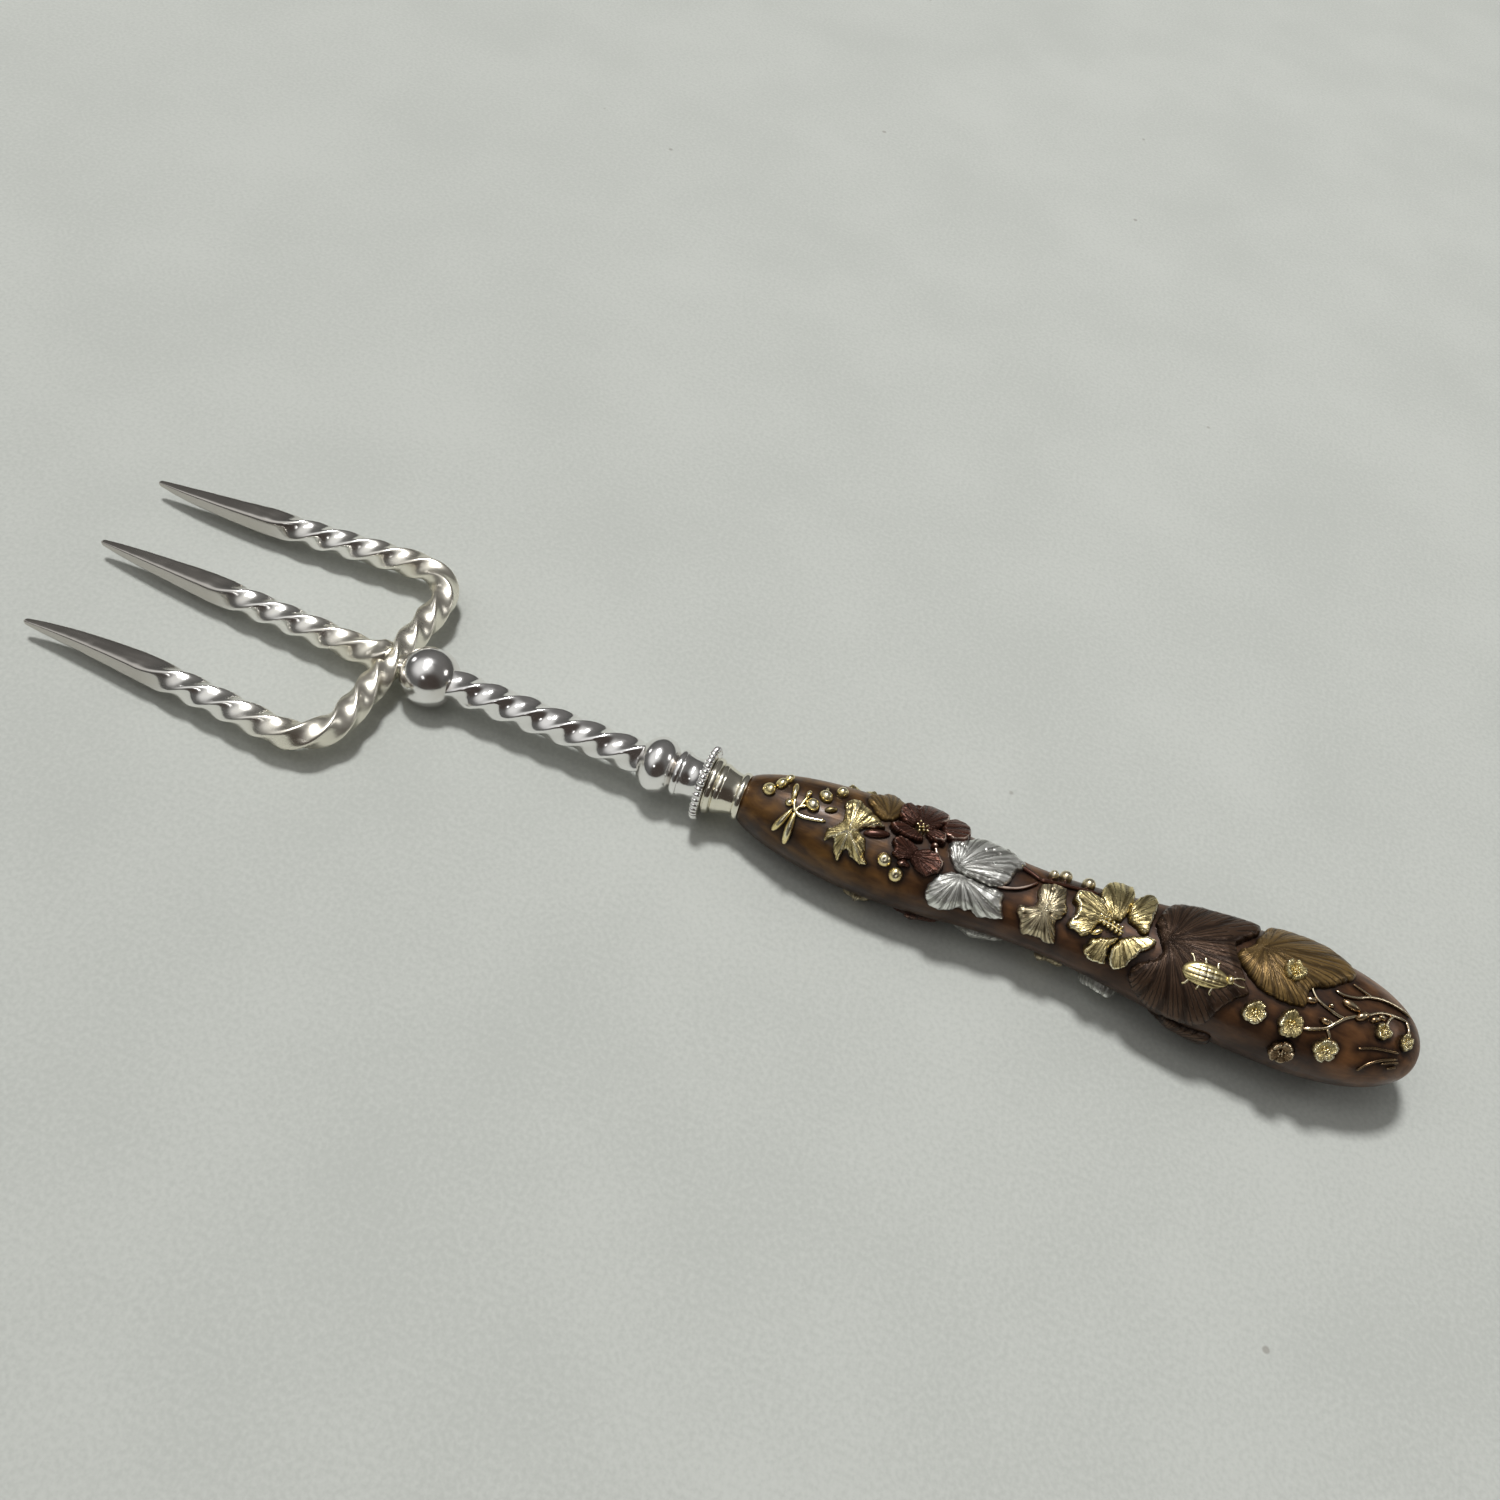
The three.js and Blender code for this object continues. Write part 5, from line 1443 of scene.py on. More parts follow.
# Buds and sprig between the ferrule and the gold leaf
cast("seed_bud_front", GOLD, [dome(3.2, 8, 2.1, 1.8, 20, 1.0)])
cast("seed_bud_back", GOLD, [
    dome(4.6, -7, 1.9, 1.6, -60, 0.95),
    dome(5.4, -20, 1.7, 1.3, -70, 0.85),
])
sprig_root = (8.0, 28)
cast("bud_sprig", GOLD, [
    wires([
        ([sprig_root, (9.0, 30), (10.6, 28.5), (12.6, 24.5)], 0.3, 0.24),
        ([sprig_root, (8.3, 21), (9.2, 16)], 0.27, 0.22),
        ([(8.4, 20), (8.9, 4)], 0.22, 0.2),
        ([sprig_root, (7.5, 20), (7.3, 12)], 0.26, 0.22),
    ]),
    dome(6.6, 45, 4.5, 1.05, 114, 0.8, egg=0.2),
    dome(8.0, 51, 5.2, 1.2, 90, 0.85, egg=0.15),
    dome(6.9, 2, 3.2, 0.95, 82, 0.75, egg=-0.2),
    dome(6.7, 19.5, 1.25, 1.15, 0, 0.75),
    dome(8.9, 0.5, 1.5, 0.85, 105, 0.75),
    dome(10.0, 12, 2.2, 1.85, 15, 1.05),
    dome(12.7, 9, 1.9, 0.8, -25, 0.5, dullness_and_shade=0.75),
])
cast("sprig_berry", GOLD, [
    dome(11.3, -5, 2.2, 1.75, 20, 1.05),
    wires([([(11.2, -7), (11.1, -19)], 0.24, 0.18)]),
])
cast("sprig_bud_far", GOLD, [dome(13.3, -20, 1.8, 1.7, 0, 1.0)])

# Leaves and blossoms round the shoulder
cast("gold_ivy_leaf", GOLD, [leaf(
    [(14.2, -4), (14.4, -9), (15.2, -13), (16.3, -15), (17.0, -11), (17.9, -8), (18.9, -4), (20.0, 1),
     (20.9, 7), (19.9, 10), (18.8, 13), (17.8, 17), (17.6, 20), (18.4, 23), (19.0, 28), (19.3, 36),
     (19.6, 44), (20.3, 51), (19.2, 54), (17.6, 50), (16.9, 45), (16.5, 47), (16.4, 55), (16.1, 61),
     (15.4, 56), (14.7, 46), (14.6, 40), (14.1, 40), (13.5, 46), (13.1, 40), (13.2, 31), (13.9, 26),
     (14.5, 20), (14.8, 12), (14.6, 5)],
    (16.2, 26), [(16.0, -13), (20.4, 6), (19.4, 50), (16.0, 58), (13.4, 42)],
    lines=13.0, depth=0.13, swell=0.22, raised=True, pits=[(17.5, 30, 0.38)])])
cast("brown_leaf_far", OLIVE_BRONZE, [leaf(
    [(18.2, -12), (17.2, -20), (17.0, -30), (17.9, -37), (18.7, -40), (19.0, -48), (20.2, -55), (21.4, -51),
     (22.0, -42), (23.2, -38), (23.9, -29), (23.0, -20), (22.2, -12), (21.4, -5), (19.9, -2), (18.8, -6)],
    (20.8, -6), [(17.6, -30), (20.2, -50), (23.2, -30)],
    edge=0.5, crown=0.04, lines=17.0, depth=0.05, swell=0.02)])
cast("dark_leaf_small", COPPER, [dome(20.0, 15.5, 3.9, 1.25, -19, 0.5, dullness_and_shade=0.6)])
upper_middle = (25.7, -10)
cast("copper_blossom_upper", COPPER, [
    petal([(22.3, -16), (22.2, -27), (23.0, -35), (24.2, -33), (24.8, -24), (24.6, -13), (23.4, -9)],
          upper_middle, 0.45),
    petal([(25.0, -20), (24.8, -36), (25.4, -48), (26.9, -53), (28.5, -48), (28.8, -37), (28.1, -26),
           (27.2, -15), (26.0, -14)], upper_middle, 0.55, 0.4),
    petal([(28.9, -24), (29.2, -38), (30.2, -47), (31.7, -46), (32.4, -34), (32.1, -20), (30.8, -13),
           (29.4, -15)], upper_middle, 0.5, 0.4),
    petal([(26.8, -8), (27.6, -13), (29.0, -12), (29.4, -5), (28.8, 0), (27.4, -1)], upper_middle, 0.5),
    petal([(21.8, 2), (22.4, -3), (23.6, -5), (25.0, -4), (26.1, 3), (25.4, 7), (23.8, 8), (22.4, 6)],
          upper_middle, 0.42, 0.4),
    dome(28.3, 5, 1.2, 1.0, -20, 0.95),
])
stamens = []
for i in range(9):
    turn, out = 2.4 * i, 0.34 * math.sqrt(i + 0.3)
    spot = spot_from(*upper_middle, 0.13, out, turn)
    stamens.append(dome(*spot, 0.5, 0.36, math.degrees(turn), 0.3, 0.8, steps=12, rows=5))
ornament_piece("blossom_stamens", None, stamens, GOLD)
lower_middle = (26.0, 24)
cast("copper_blossom_lower", COPPER, [
    petal([(22.7, 18), (23.0, 14), (23.9, 12), (25.0, 13), (25.9, 16), (25.9, 22), (25.4, 28), (24.2, 32),
           (23.2, 29), (23.2, 24)], lower_middle, 0.45, 0.45, wave=0.06),
    petal([(24.3, 35), (24.9, 32), (25.7, 34), (25.8, 37), (25.0, 39.5), (24.3, 38)],
          lower_middle, 0.4, 0.35),
    petal([(26.0, 25), (26.7, 17), (28.0, 14), (29.1, 16), (29.9, 22), (29.9, 29), (29.3, 34), (28.4, 38.5),
           (27.2, 36), (26.3, 31)], lower_middle, 0.45, 0.5, wave=0.06),
    wires([([(28.5, 8), (28.9, 13), (29.6, 19)], 0.2, 0.22)], 0.7),
])
cast("gold_berry_1", GOLD, [dome(22.3, 39, 2.2, 2.0, 0, 1.05, pit=0.12)])
cast("gold_berry_2", GOLD, [dome(24.5, 50, 2.1, 2.1, 0, 1.05, pit=0.12)])

# Silver leaves, tendril and berries between shoulder and waist
cast("silver_leaf_upper", LEAF_SILVER, [leaf(
    [(30.2, -2), (30.3, -10), (31.5, -17), (32.6, -24), (33.4, -32), (34.4, -39), (36.0, -43), (38.0, -42),
     (39.8, -38), (41.0, -31), (41.8, -24), (41.2, -17), (40.5, -9), (40.3, -1), (40.1, 8), (39.7, 16),
     (38.9, 22), (37.3, 25), (35.6, 24.5), (34.0, 24), (32.4, 22), (31.4, 15), (30.6, 7)],
    (32.2, 19), [(40.2, 0), (39.0, 19), (40.6, -26), (34.8, -35), (31.0, -8)],
    lines=17.0, depth=0.02, swell=0.04,
    pits=[(31.2, -6, 0.14), (31.9, -8, 0.2), (32.4, -5, 0.13), (31.4, -10, 0.12), (35.3, -14, 0.16),
          (36.4, -20, 0.14), (37.3, -17, 0.14)])])
cast("silver_leaf_lower", LEAF_SILVER, [leaf(
    [(29.6, 43), (29.8, 36), (30.7, 30), (31.8, 25), (33.2, 23.5), (35.2, 24.5), (37.2, 25.5), (39.0, 24.5),
     (39.9, 29), (39.9, 37), (40.2, 45), (40.6, 53), (40.8, 59), (39.9, 63), (38.4, 66), (37.4, 69),
     (36.7, 66), (36.2, 62), (35.4, 66), (34.6, 64), (33.6, 70), (32.3, 75), (31.2, 75), (30.4, 73),
     (29.6, 66), (29.2, 56), (29.3, 48)],
    (33.2, 27), [(40.2, 54), (37.6, 65), (34.4, 62), (31.6, 72), (29.8, 58), (30.2, 40), (39.4, 32)],
    lines=17.0, depth=0.06, swell=0.1, pits=[(34.6, 62, 0.25), (36.3, 60, 0.22)])])
cast("copper_tendril", COPPER, [wires([
    ([(38.2, 21.5), (40.0, 18), (41.5, 12.5), (42.8, 4), (43.9, -7)], 0.26, 0.22),
])])
cast("berry_stem", COPPER, [wires([
    ([(39.6, -26), (41.2, -22.5), (42.8, -18), (44.2, -12.5)], 0.5, 0.3),
    ([(44.0, -12), (46.4, -17), (49.0, -21), (52.6, -25)], 0.34, 0.3),
    ([(45.2, -16), (45.7, -24)], 0.24, 0.22),
    ([(47.4, -19), (47.6, -32)], 0.24, 0.22),
    ([(50.2, -22), (50.9, -32)], 0.24, 0.22),
], 0.1, 0.45)])
for number, (x, around, size) in enumerate([(45.8, -30, 1.5), (47.6, -41, 1.95), (51, -41, 2.0)], 1):
    cast(f"stem_berry_{number}", PALE_GOLD, [dome(x, around, size, size, 0, 1.15)])

# Pale leaf and large blossom at the waist
cast("pale_ivy_leaf", PALE_GOLD, [leaf(
    [(44.1, 1), (44.6, -6), (45.6, -11), (46.8, -13), (48.0, -11), (48.2, -4), (48.3, 4), (48.8, 14),
     (48.9, 22), (48.5, 30), (47.9, 37), (48.2, 46), (48.6, 56), (48.7, 66), (47.6, 70), (46.4, 67),
     (45.2, 68), (43.9, 70), (43.3, 62), (43.2, 55), (42.5, 47), (42.1, 39), (42.3, 32), (43.3, 30),
     (44.2, 28), (44.4, 23), (44.3, 14), (44.1, 7)],
    (45.6, 31), [(46.5, -10), (48.6, 20), (48.2, 64), (44.4, 66), (42.5, 40)],
    lines=12.0, depth=0.13, swell=0.2, raised=True,
    pits=[(43.4, 41, 0.4), (46.7, 31, 0.26), (46.0, 2, 0.25)])])
gold_middle = (55.6, 13)
GOLD_PETALS = [
    [(49.3, -1), (49.6, -9), (50.6, -13), (52.0, -13), (53.2, -9), (54.0, -3), (54.9, 4), (55.3, 10),
     (54.4, 16), (53.4, 21), (53.1, 27), (52.6, 36), (51.9, 41), (50.8, 38), (49.5, 35), (49.6, 27),
     (50.0, 19), (50.0, 10), (49.4, 4)],
    [(53.0, -12), (52.9, -24), (53.2, -38), (54.2, -50), (55.8, -55), (57.2, -48), (57.4, -30), (57.0, -10),
     (56.4, 3), (55.6, 8), (54.6, 3), (53.7, -4)],
    [(57.1, -5), (57.2, -18), (58.0, -29), (59.0, -38), (60.0, -40), (60.7, -30), (60.6, -15), (60.3, 0),
     (60.2, 10), (59.6, 14), (58.8, 10), (58.0, 6), (57.3, 3)],
    [(57.3, 25), (58.6, 20), (60.0, 17), (61.0, 17), (61.4, 22), (61.0, 28), (60.0, 35), (59.3, 44),
     (58.8, 53), (58.0, 60), (56.9, 61), (56.2, 52), (56.1, 43), (56.6, 33)],
    [(53.0, 46), (53.1, 40), (54.2, 35), (55.6, 30), (56.6, 28), (56.2, 36), (55.7, 45), (55.9, 54),
     (55.9, 61), (54.6, 64), (53.2, 62), (52.6, 53)],
]
cast("gold_blossom", GOLD, [
    *[petal(outline, gold_middle, 0.5, 0.5, 0.2, 13.0, 0.15, wave=0.08, full=1.07)
      for outline in GOLD_PETALS],
    *[dome(53.4 + 0.62 * i, 14 + 1.2 * i + side * 3.6, 0.6, 0.5, 30 * i, 0.42, 0.85, steps=12, rows=5)
      for i in range(6) for side in (-1, 1)],
    wires([([(53.2, 15), (55.0, 17), (57.0, 21)], 0.2, 0.16)], 0.75),
    dome(53.5, 30.5, 1.7, 0.75, -35, 0.5, 0.75),
])

# Large leaves round the bulb, with the beetle and a blossom on them
leaf_top = SEAT_GAP + LEAF_EDGE_GROWTH * LEAF_EDGE + CROWN_GROWTH * LEAF_CROWN
cast("bronze_leaf_front", LEAF_BRONZE, [leaf(
    [(61.0, -4), (61.3, -14), (61.8, -26), (62.8, -38), (64.5, -45), (67.0, -48), (70.0, -47), (73.4, -46),
     (75.3, -41), (75.3, -32), (74.4, -23), (73.1, -14), (72.1, -6), (72.4, 2), (73.1, 10), (73.7, 17),
     (74.3, 24), (75.0, 30), (75.3, 34), (74.5, 38), (73.4, 45), (72.4, 55), (71.9, 65), (71.4, 76),
     (69.6, 87), (66.4, 92), (63.2, 90), (61.0, 80), (59.7, 67), (59.6, 54), (60.3, 44), (61.3, 38),
     (62.3, 32), (62.7, 25), (62.3, 17), (61.6, 8)],
    (62.9, 13), [(72.0, -34), (71.6, -8), (74.4, 28), (71.8, 54), (66.2, 86), (60.9, 64), (66.0, -42)],
    lines=19.0, depth=0.025, swell=0.06, crown=0.25, seat_lift=SEAT_GAP + 0.12)])
cast("bronze_leaf_back", OLIVE_BRONZE, [leaf(
    [(75.9, -34), (76.4, -46), (78.2, -53), (82.0, -56), (85.4, -52), (87.2, -42), (88.6, -34), (89.2, -24),
     (88.8, -17), (87.8, -11), (86.6, -4), (85.4, 2), (84.0, 6), (83.0, 10), (82.8, 17), (82.9, 24),
     (82.0, 28), (80.0, 29), (78.3, 28), (76.6, 26), (74.9, 20), (73.4, 12), (72.4, 5), (72.6, -3),
     (73.6, -8), (74.6, -15), (75.0, -24)],
    (75.6, -10), [(88.2, -26), (85.0, 0), (82.2, 20), (78.8, 24), (84.0, -48), (75.2, 10)],
    lines=21.0, depth=0.025, swell=0.06, crown=0.25)])


def beetle_back(x, around, long, wide, slant, base):
    """A beetle's wing cases: a long dome with lines along it and rings across it."""
    part = dome(x, around, long, wide, slant, 0.85, base, 72, 26, seat=base - 0.5, egg=-0.12)
    per_degree = millimetres_per_degree(x, around)
    turn = math.radians(slant)
    drawn = part["points"]
    angle = np.degrees(np.arctan2(-drawn[:, 1], drawn[:, 2] / HANDLE_FLATNESS))
    flat = np.stack([drawn[:, 0] - neck - x, (angle - around) * per_degree], 1)
    along = flat[:, 0] * math.cos(turn) + flat[:, 1] * math.sin(turn)
    across = flat[:, 1] * math.cos(turn) - flat[:, 0] * math.sin(turn)
    inner = 1 - smooth_step(np.hypot(along / long, across / wide) * 2, 0.75, 1.0)
    lines = smooth_step(np.cos(2 * np.pi * across / 0.6), 0.1, 1.0) * inner
    rings = smooth_step(np.cos(2 * np.pi * along / 0.9), 0.7, 1.0) * inner
    sink = np.stack([0 * angle, np.sin(np.radians(angle)), -np.cos(np.radians(angle))], 1)
    part["points"] = drawn + sink * (0.1 * lines + 0.05 * rings)[:, None]
    part["rub"] = part["rub"] * (1 - 0.5 * lines)
    part["hollow"] = np.maximum(part["hollow"], 0.8 * lines)
    return part


beetle_base = leaf_top + 0.1
beetle_round = 32.5
beetle_legs = []
for i in range(3):
    for side in (-1, 1):
        hip = (67.0 + 1.6 * i, beetle_round + side * 7)
        knee = (66.6 + 1.7 * i, beetle_round + side * 12)
        foot = (66.2 + 2.0 * i, beetle_round + side * 14)
        beetle_legs.append(([hip, knee, foot], 0.2, 0.14))
cast("gold_beetle", GOLD, [
    beetle_back(68.8, beetle_round, 6.4, 2.9, -3, beetle_base),
    dome(72.0, 29, 1.15, 1.2, 0, 0.8, beetle_base - 0.05, 24, 9, seat=beetle_base - 0.6),
    wires(beetle_legs, beetle_base - 0.1),
    wires([
        ([(72.3, 27.5), (73.2, 25), (74.0, 24.5)], 0.14, 0.1),
        ([(72.4, 30), (73.4, 31), (74.2, 30.5)], 0.14, 0.1),
    ], beetle_base - 0.15),
])
cast("leaf_blossom", GOLD, plum_blossom(80, 3, 1.5, seat_lift=leaf_top + 0.05))

# Small blossoms, twigs and reeds towards the butt
for metal, name, x, around, radius, turn in [
    (GOLD, "plum_blossom_1", 76.6, 46, 1.55, 0),
    (GOLD, "plum_blossom_2", 81.6, 44, 1.75, 36),
    (TWIG_GOLD, "plum_blossom_3", 82, 71.5, 1.6, 0),
    (GOLD, "plum_blossom_4", 87.1, 55, 1.6, 36),
    (GOLD, "tip_blossom_1", 94, 20.5, 1.15, 0),
    (GOLD, "tip_blossom_2", 97.9, 20.5, 1.1, 36),
    (GOLD, "back_plum_blossom", 86.8, -98, 2.2, 0),
]:
    cast(name, metal, plum_blossom(x, around, radius, turn))
twig_fork = (88.3, 23)
twig_knot = (91.0, 13.5)
cast("blossom_twig", TWIG_GOLD, [
    wires([
        ([(82.9, 4), (83.3, 10), (84.2, 16), (85.8, 20), (87.2, 22.4), twig_fork], 0.18, 0.24),
        ([(83.2, 44), (84.8, 40.5), (86.2, 36.5), (87.2, 30), twig_fork, (89.6, 17.5), twig_knot,
          (93.0, 4), (95.4, -2), (98.2, -8)], 0.26, 0.2),
        ([(86.9, 32), (86.3, 29.5), (85.7, 30.5)], 0.2, 0.2),
        ([(86.4, 37), (87.0, 42), (87.2, 47)], 0.2, 0.2),
        ([(95.2, -1.5), (94.6, 5), (94.2, 14)], 0.2, 0.2),
        ([(97.4, -6), (97.9, 3), (97.8, 13)], 0.2, 0.2),
    ], 0.15),
    dome(83.2, 19, 2.0, 1.0, -8, 0.8),
    dome(82.9, 5, 0.9, 1.1, 0, 0.7),
    dome(90.6, 15, 2.3, 1.25, -38, 0.85),
    dome(88.9, 10, 3.0, 1.15, 12, 0.7, egg=-0.2),
    dome(92.6, 12.5, 1.7, 0.85, -30, 0.6, egg=-0.2),
    dome(85.8, 31, 1.5, 1.0, 0, 0.75),
    dome(86.1, 17, 0.9, 0.7, 0, 0.55),
    dome(87.3, 47, 1.5, 1.1, 15, 0.75),
    dome(93.4, 8, 1.1, 0.8, 0, 0.6),
])
cast("upper_twig", TWIG_GOLD, [wires([
    ([(86.3, 1.5), (87.6, 3), (89.5, 0), (91.3, -7), (93.5, -13), (96.0, -17.5), (98.2, -21)], 0.2, 0.24),
    ([(88.8, -13), (90.2, -10.5), (91.6, -8.5)], 0.16, 0.2),
], 0.15)])
cast("reed_blade_1", TWIG_GOLD, [wires([
    ([(91.3, 44.5), (93.2, 39.5), (95.0, 37.5), (97.2, 35.8)], 0.14, 0.22),
], 0.05, 0.4)])
cast("reed_blade_2", TWIG_GOLD, [wires([
    ([(92.4, 68), (93.3, 58), (95.0, 49.5), (97.3, 44)], 0.15, 0.22),
    ([(95.2, 54), (96.4, 50), (97.6, 48.5)], 0.14, 0.2),
    ([(96.3, 59), (97.5, 55)], 0.14, 0.18),
], 0.05, 0.4)])


# Ornament on the far side and underneath

def lobed(x, around, lobes, valley):
    """An outline on the sheet with lobes at (direction, reach), and valleys between them."""
    per_degree = millimetres_per_degree(x, around)
    outline = []
    for i, (direction, reach) in enumerate(lobes):
        next_direction, next_reach = lobes[(i + 1) % len(lobes)]
        turn = (next_direction - direction) % 360
        low = valley * min(reach, next_reach)
        steps = [(0.0, reach), (0.22, 0.5 * (reach + low)), (0.5, low), (0.78, 0.5 * (next_reach + low))]
        for share, out in steps:
            angle = math.radians(direction + turn * share)
            outline.append(spot_from(x, around, per_degree, out, angle))
    return outline


def lobed_leaf(x, around, lobes, valley, stalk, **form):
    """A leaf whose veins run from its stalk out to each lobe."""
    per_degree = millimetres_per_degree(x, around)
    root = (x + stalk, around)
    tips = []
    for direction, reach in lobes:
        angle = math.radians(direction)
        tips.append(spot_from(x, around, per_degree, 0.9 * reach, angle))
    tips = [tip for tip in tips if abs(tip[0] - root[0]) + abs(tip[1] - root[1]) > 1.5]
    return leaf(lobed(x, around, lobes, valley), root, tips, **form)


# Leaves underneath are thinner and flatter, apart from the rest leaf
THIN = {"edge": 0.35, "swell": 0.08, "depth": 0.04}
cast("back_gold_leaf", GOLD, [lobed_leaf(
    15.8, -105, [(-90, 3.8), (-20, 3.6), (60, 4.2), (120, 4.2), (-160, 3.6)],
    0.6, -0.3, lines=13.0, raised=True)])
for node, metal, x, around, petals, radius, edge, cup, middle, tall in [
    ("back_copper_blossom", COPPER, 26.4, -112, 6, 4.0, 0.5, 0.45, 1.5, 0.8),
    ("under_silver_blossom", LEAF_SILVER, 57.2, 148, 5, 3.0, 0.45, 0.4, 1.1, 0.7),
]:
    blossom = round_petals(x, around, petals, radius, 0.0, edge, cup)
    cast(node, metal, blossom + [dome(x, around, middle, middle, 0, tall, 0.5)])
for node, metal, x, around, lobes, valley, stalk, form in [
    ("back_silver_leaf", LEAF_SILVER, 38.8, -112,
     [(-90, 4), (0, 5), (90, 4), (150, 4.6), (-150, 4.6)], 0.85, -3.0, {"lines": 15.0}),
    ("under_gilt_leaf", PALE_GOLD, 20.3, 140,
     [(-90, 3), (0, 2.4), (90, 3), (180, 2.4)], 0.6, -0.2, {"lines": 12.0, "raised": True, **THIN}),
    ("under_copper_leaf", COPPER, 29.2, 142,
     [(-110, 3.6), (0, 4), (110, 3.6), (180, 3.6)], 0.6, -0.6, {"lines": 12.0, **THIN}),
    # This silver leaf underneath is darkened by its dull value: patina, and painted shade for a leaf in shade
    # under the handle
    ("under_silver_leaf", LEAF_SILVER, 38.3, 145,
     [(-110, 3.4), (0, 4.4), (110, 3.4), (180, 3.4)], 0.85, -2.3, {"lines": 14.0, "dullness_and_shade": 0.55, **THIN}),
    ("under_pale_leaf", PALE_GOLD, 49.2, 150,
     [(-120, 3.4), (-30, 3), (60, 3.4), (150, 3.4)], 0.6, -0.2, {"lines": 12.0, "raised": True, **THIN}),
    ("back_bronze_leaf", LEAF_BRONZE, 70.3, -112,
     [(-110, 6), (-60, 6), (0, 6.4), (60, 6.4), (120, 6.4), (180, 5)], 0.82, -4.1, {"lines": 18.0}),
    ("under_bronze_leaf", LEAF_BRONZE, 70, 142,
     [(-120, 6.8), (-65, 7.4), (0, 5.2), (70, 5.6), (120, 5.8), (180, 5)], 0.82, -4.0,
     {"lines": 18.0, **THIN}),
]:
    cast(node, metal, [lobed_leaf(x, around, lobes, valley, stalk, **form)])


def rest_leaf():
    """The leaf that the fork lies on, with its face worn flat."""
    part = lobed_leaf(
        82.6, 180, [(-120, 6), (-60, 6.2), (0, 6.4), (60, 6.2), (120, 6), (180, 5.2)], 0.85, -4.0,
        edge=REST_EDGE, crown=REST_CROWN, lines=18.0, swell=0.1)
    points = part["points"]
    drop = (points[:, 0] - bulb) * math.sin(rest_tilt) + (points[:, 2] + rest_depth) * math.cos(rest_tilt)
    sunk = np.minimum(drop, 0.0)
    points[:, 0] -= sunk * math.sin(rest_tilt)
    points[:, 2] -= sunk * math.cos(rest_tilt)
    part["rub"] = np.where(sunk < 0, 0.95, part["rub"])
    part["hollow"] = np.where(sunk < 0, 0.0, part["hollow"])
    return cast("rest_leaf", LEAF_BRONZE, [part])


rest_leaf()


# Handle shells

# How far the dark beside the ornament reaches from it, in millimetres: patina and painted shade in the hollow
# where the ornament meets the handle
HOLLOW_REACH = 1.15
# Painted shade on the bulb's near side, towards its lower edge: its middle and its spread, in millimetres
# from the neck and in degrees round
BULB_SHADE_PLACE = (75.5, 74)
BULB_SHADE_SIZE = (10.0, 28)
BULB_SHADE_DARK = 0.85
# Painted shade down the handle's sides: where along the handle, and from how many degrees round, they turn
# dark
SIDE_PLACES = [22, 40, 86, 93]
SIDE_TURNS = [46, 20, 20, 60]
SIDE_FADE = 55
SIDE_SHADE_DARK = 0.85
# Rows and sides of a shell's mesh, the share of its rows in front of the bulb, and its least sharp edge
SHELL_ROWS = 240
SHELL_SIDES = 76
BODY_SHARE = 0.8
SHARP_ANGLE = math.radians(60)


def painted_ground_shade(drawn, around):
    """How dark the handle is painted, from 0 to 1: patina and painted shade beside the ornament, painted
    shade on the bulb's near side and painted shade down its sides.
    """
    drawn, around = (part.ravel() for part in np.broadcast_arrays(drawn, around))
    hollow = np.zeros(len(drawn))
    margin = 4.0
    # Patina and painted shade beside each piece of ornament
    for x, middle, per_degree, rim in seated:
        turn = (around - middle + 180) % 360 - 180
        spots = np.stack([drawn - x, turn * per_degree], 1)
        low, high = rim.min(0) - margin, rim.max(0) + margin
        near = np.flatnonzero(((spots > low) & (spots < high)).all(1))
        if len(near):
            distance, inside = rim_distance(spots[near], rim[::2] if len(rim) > 60 else rim)
            away = np.where(inside, 0.0, distance)
            hollow[near] = np.maximum(hollow[near], np.exp(-(away / HOLLOW_REACH) ** 1.3))
    # Painted shade: a dark patch on the bulb's near side, and the sides darker away from the top
    aside = np.abs((around + 180) % 360 - 180)
    along, across = (drawn - BULB_SHADE_PLACE[0]) / BULB_SHADE_SIZE[0], (around - BULB_SHADE_PLACE[1]) / BULB_SHADE_SIZE[1]
    bulb_shade = BULB_SHADE_DARK * np.exp(-along ** 2 - across ** 2)
    turns_dark = np.interp(drawn, SIDE_PLACES, SIDE_TURNS)
    sides = SIDE_SHADE_DARK * smooth_step(aside, turns_dark, turns_dark + SIDE_FADE)
    return np.maximum.reduce([hollow, bulb_shade, sides])


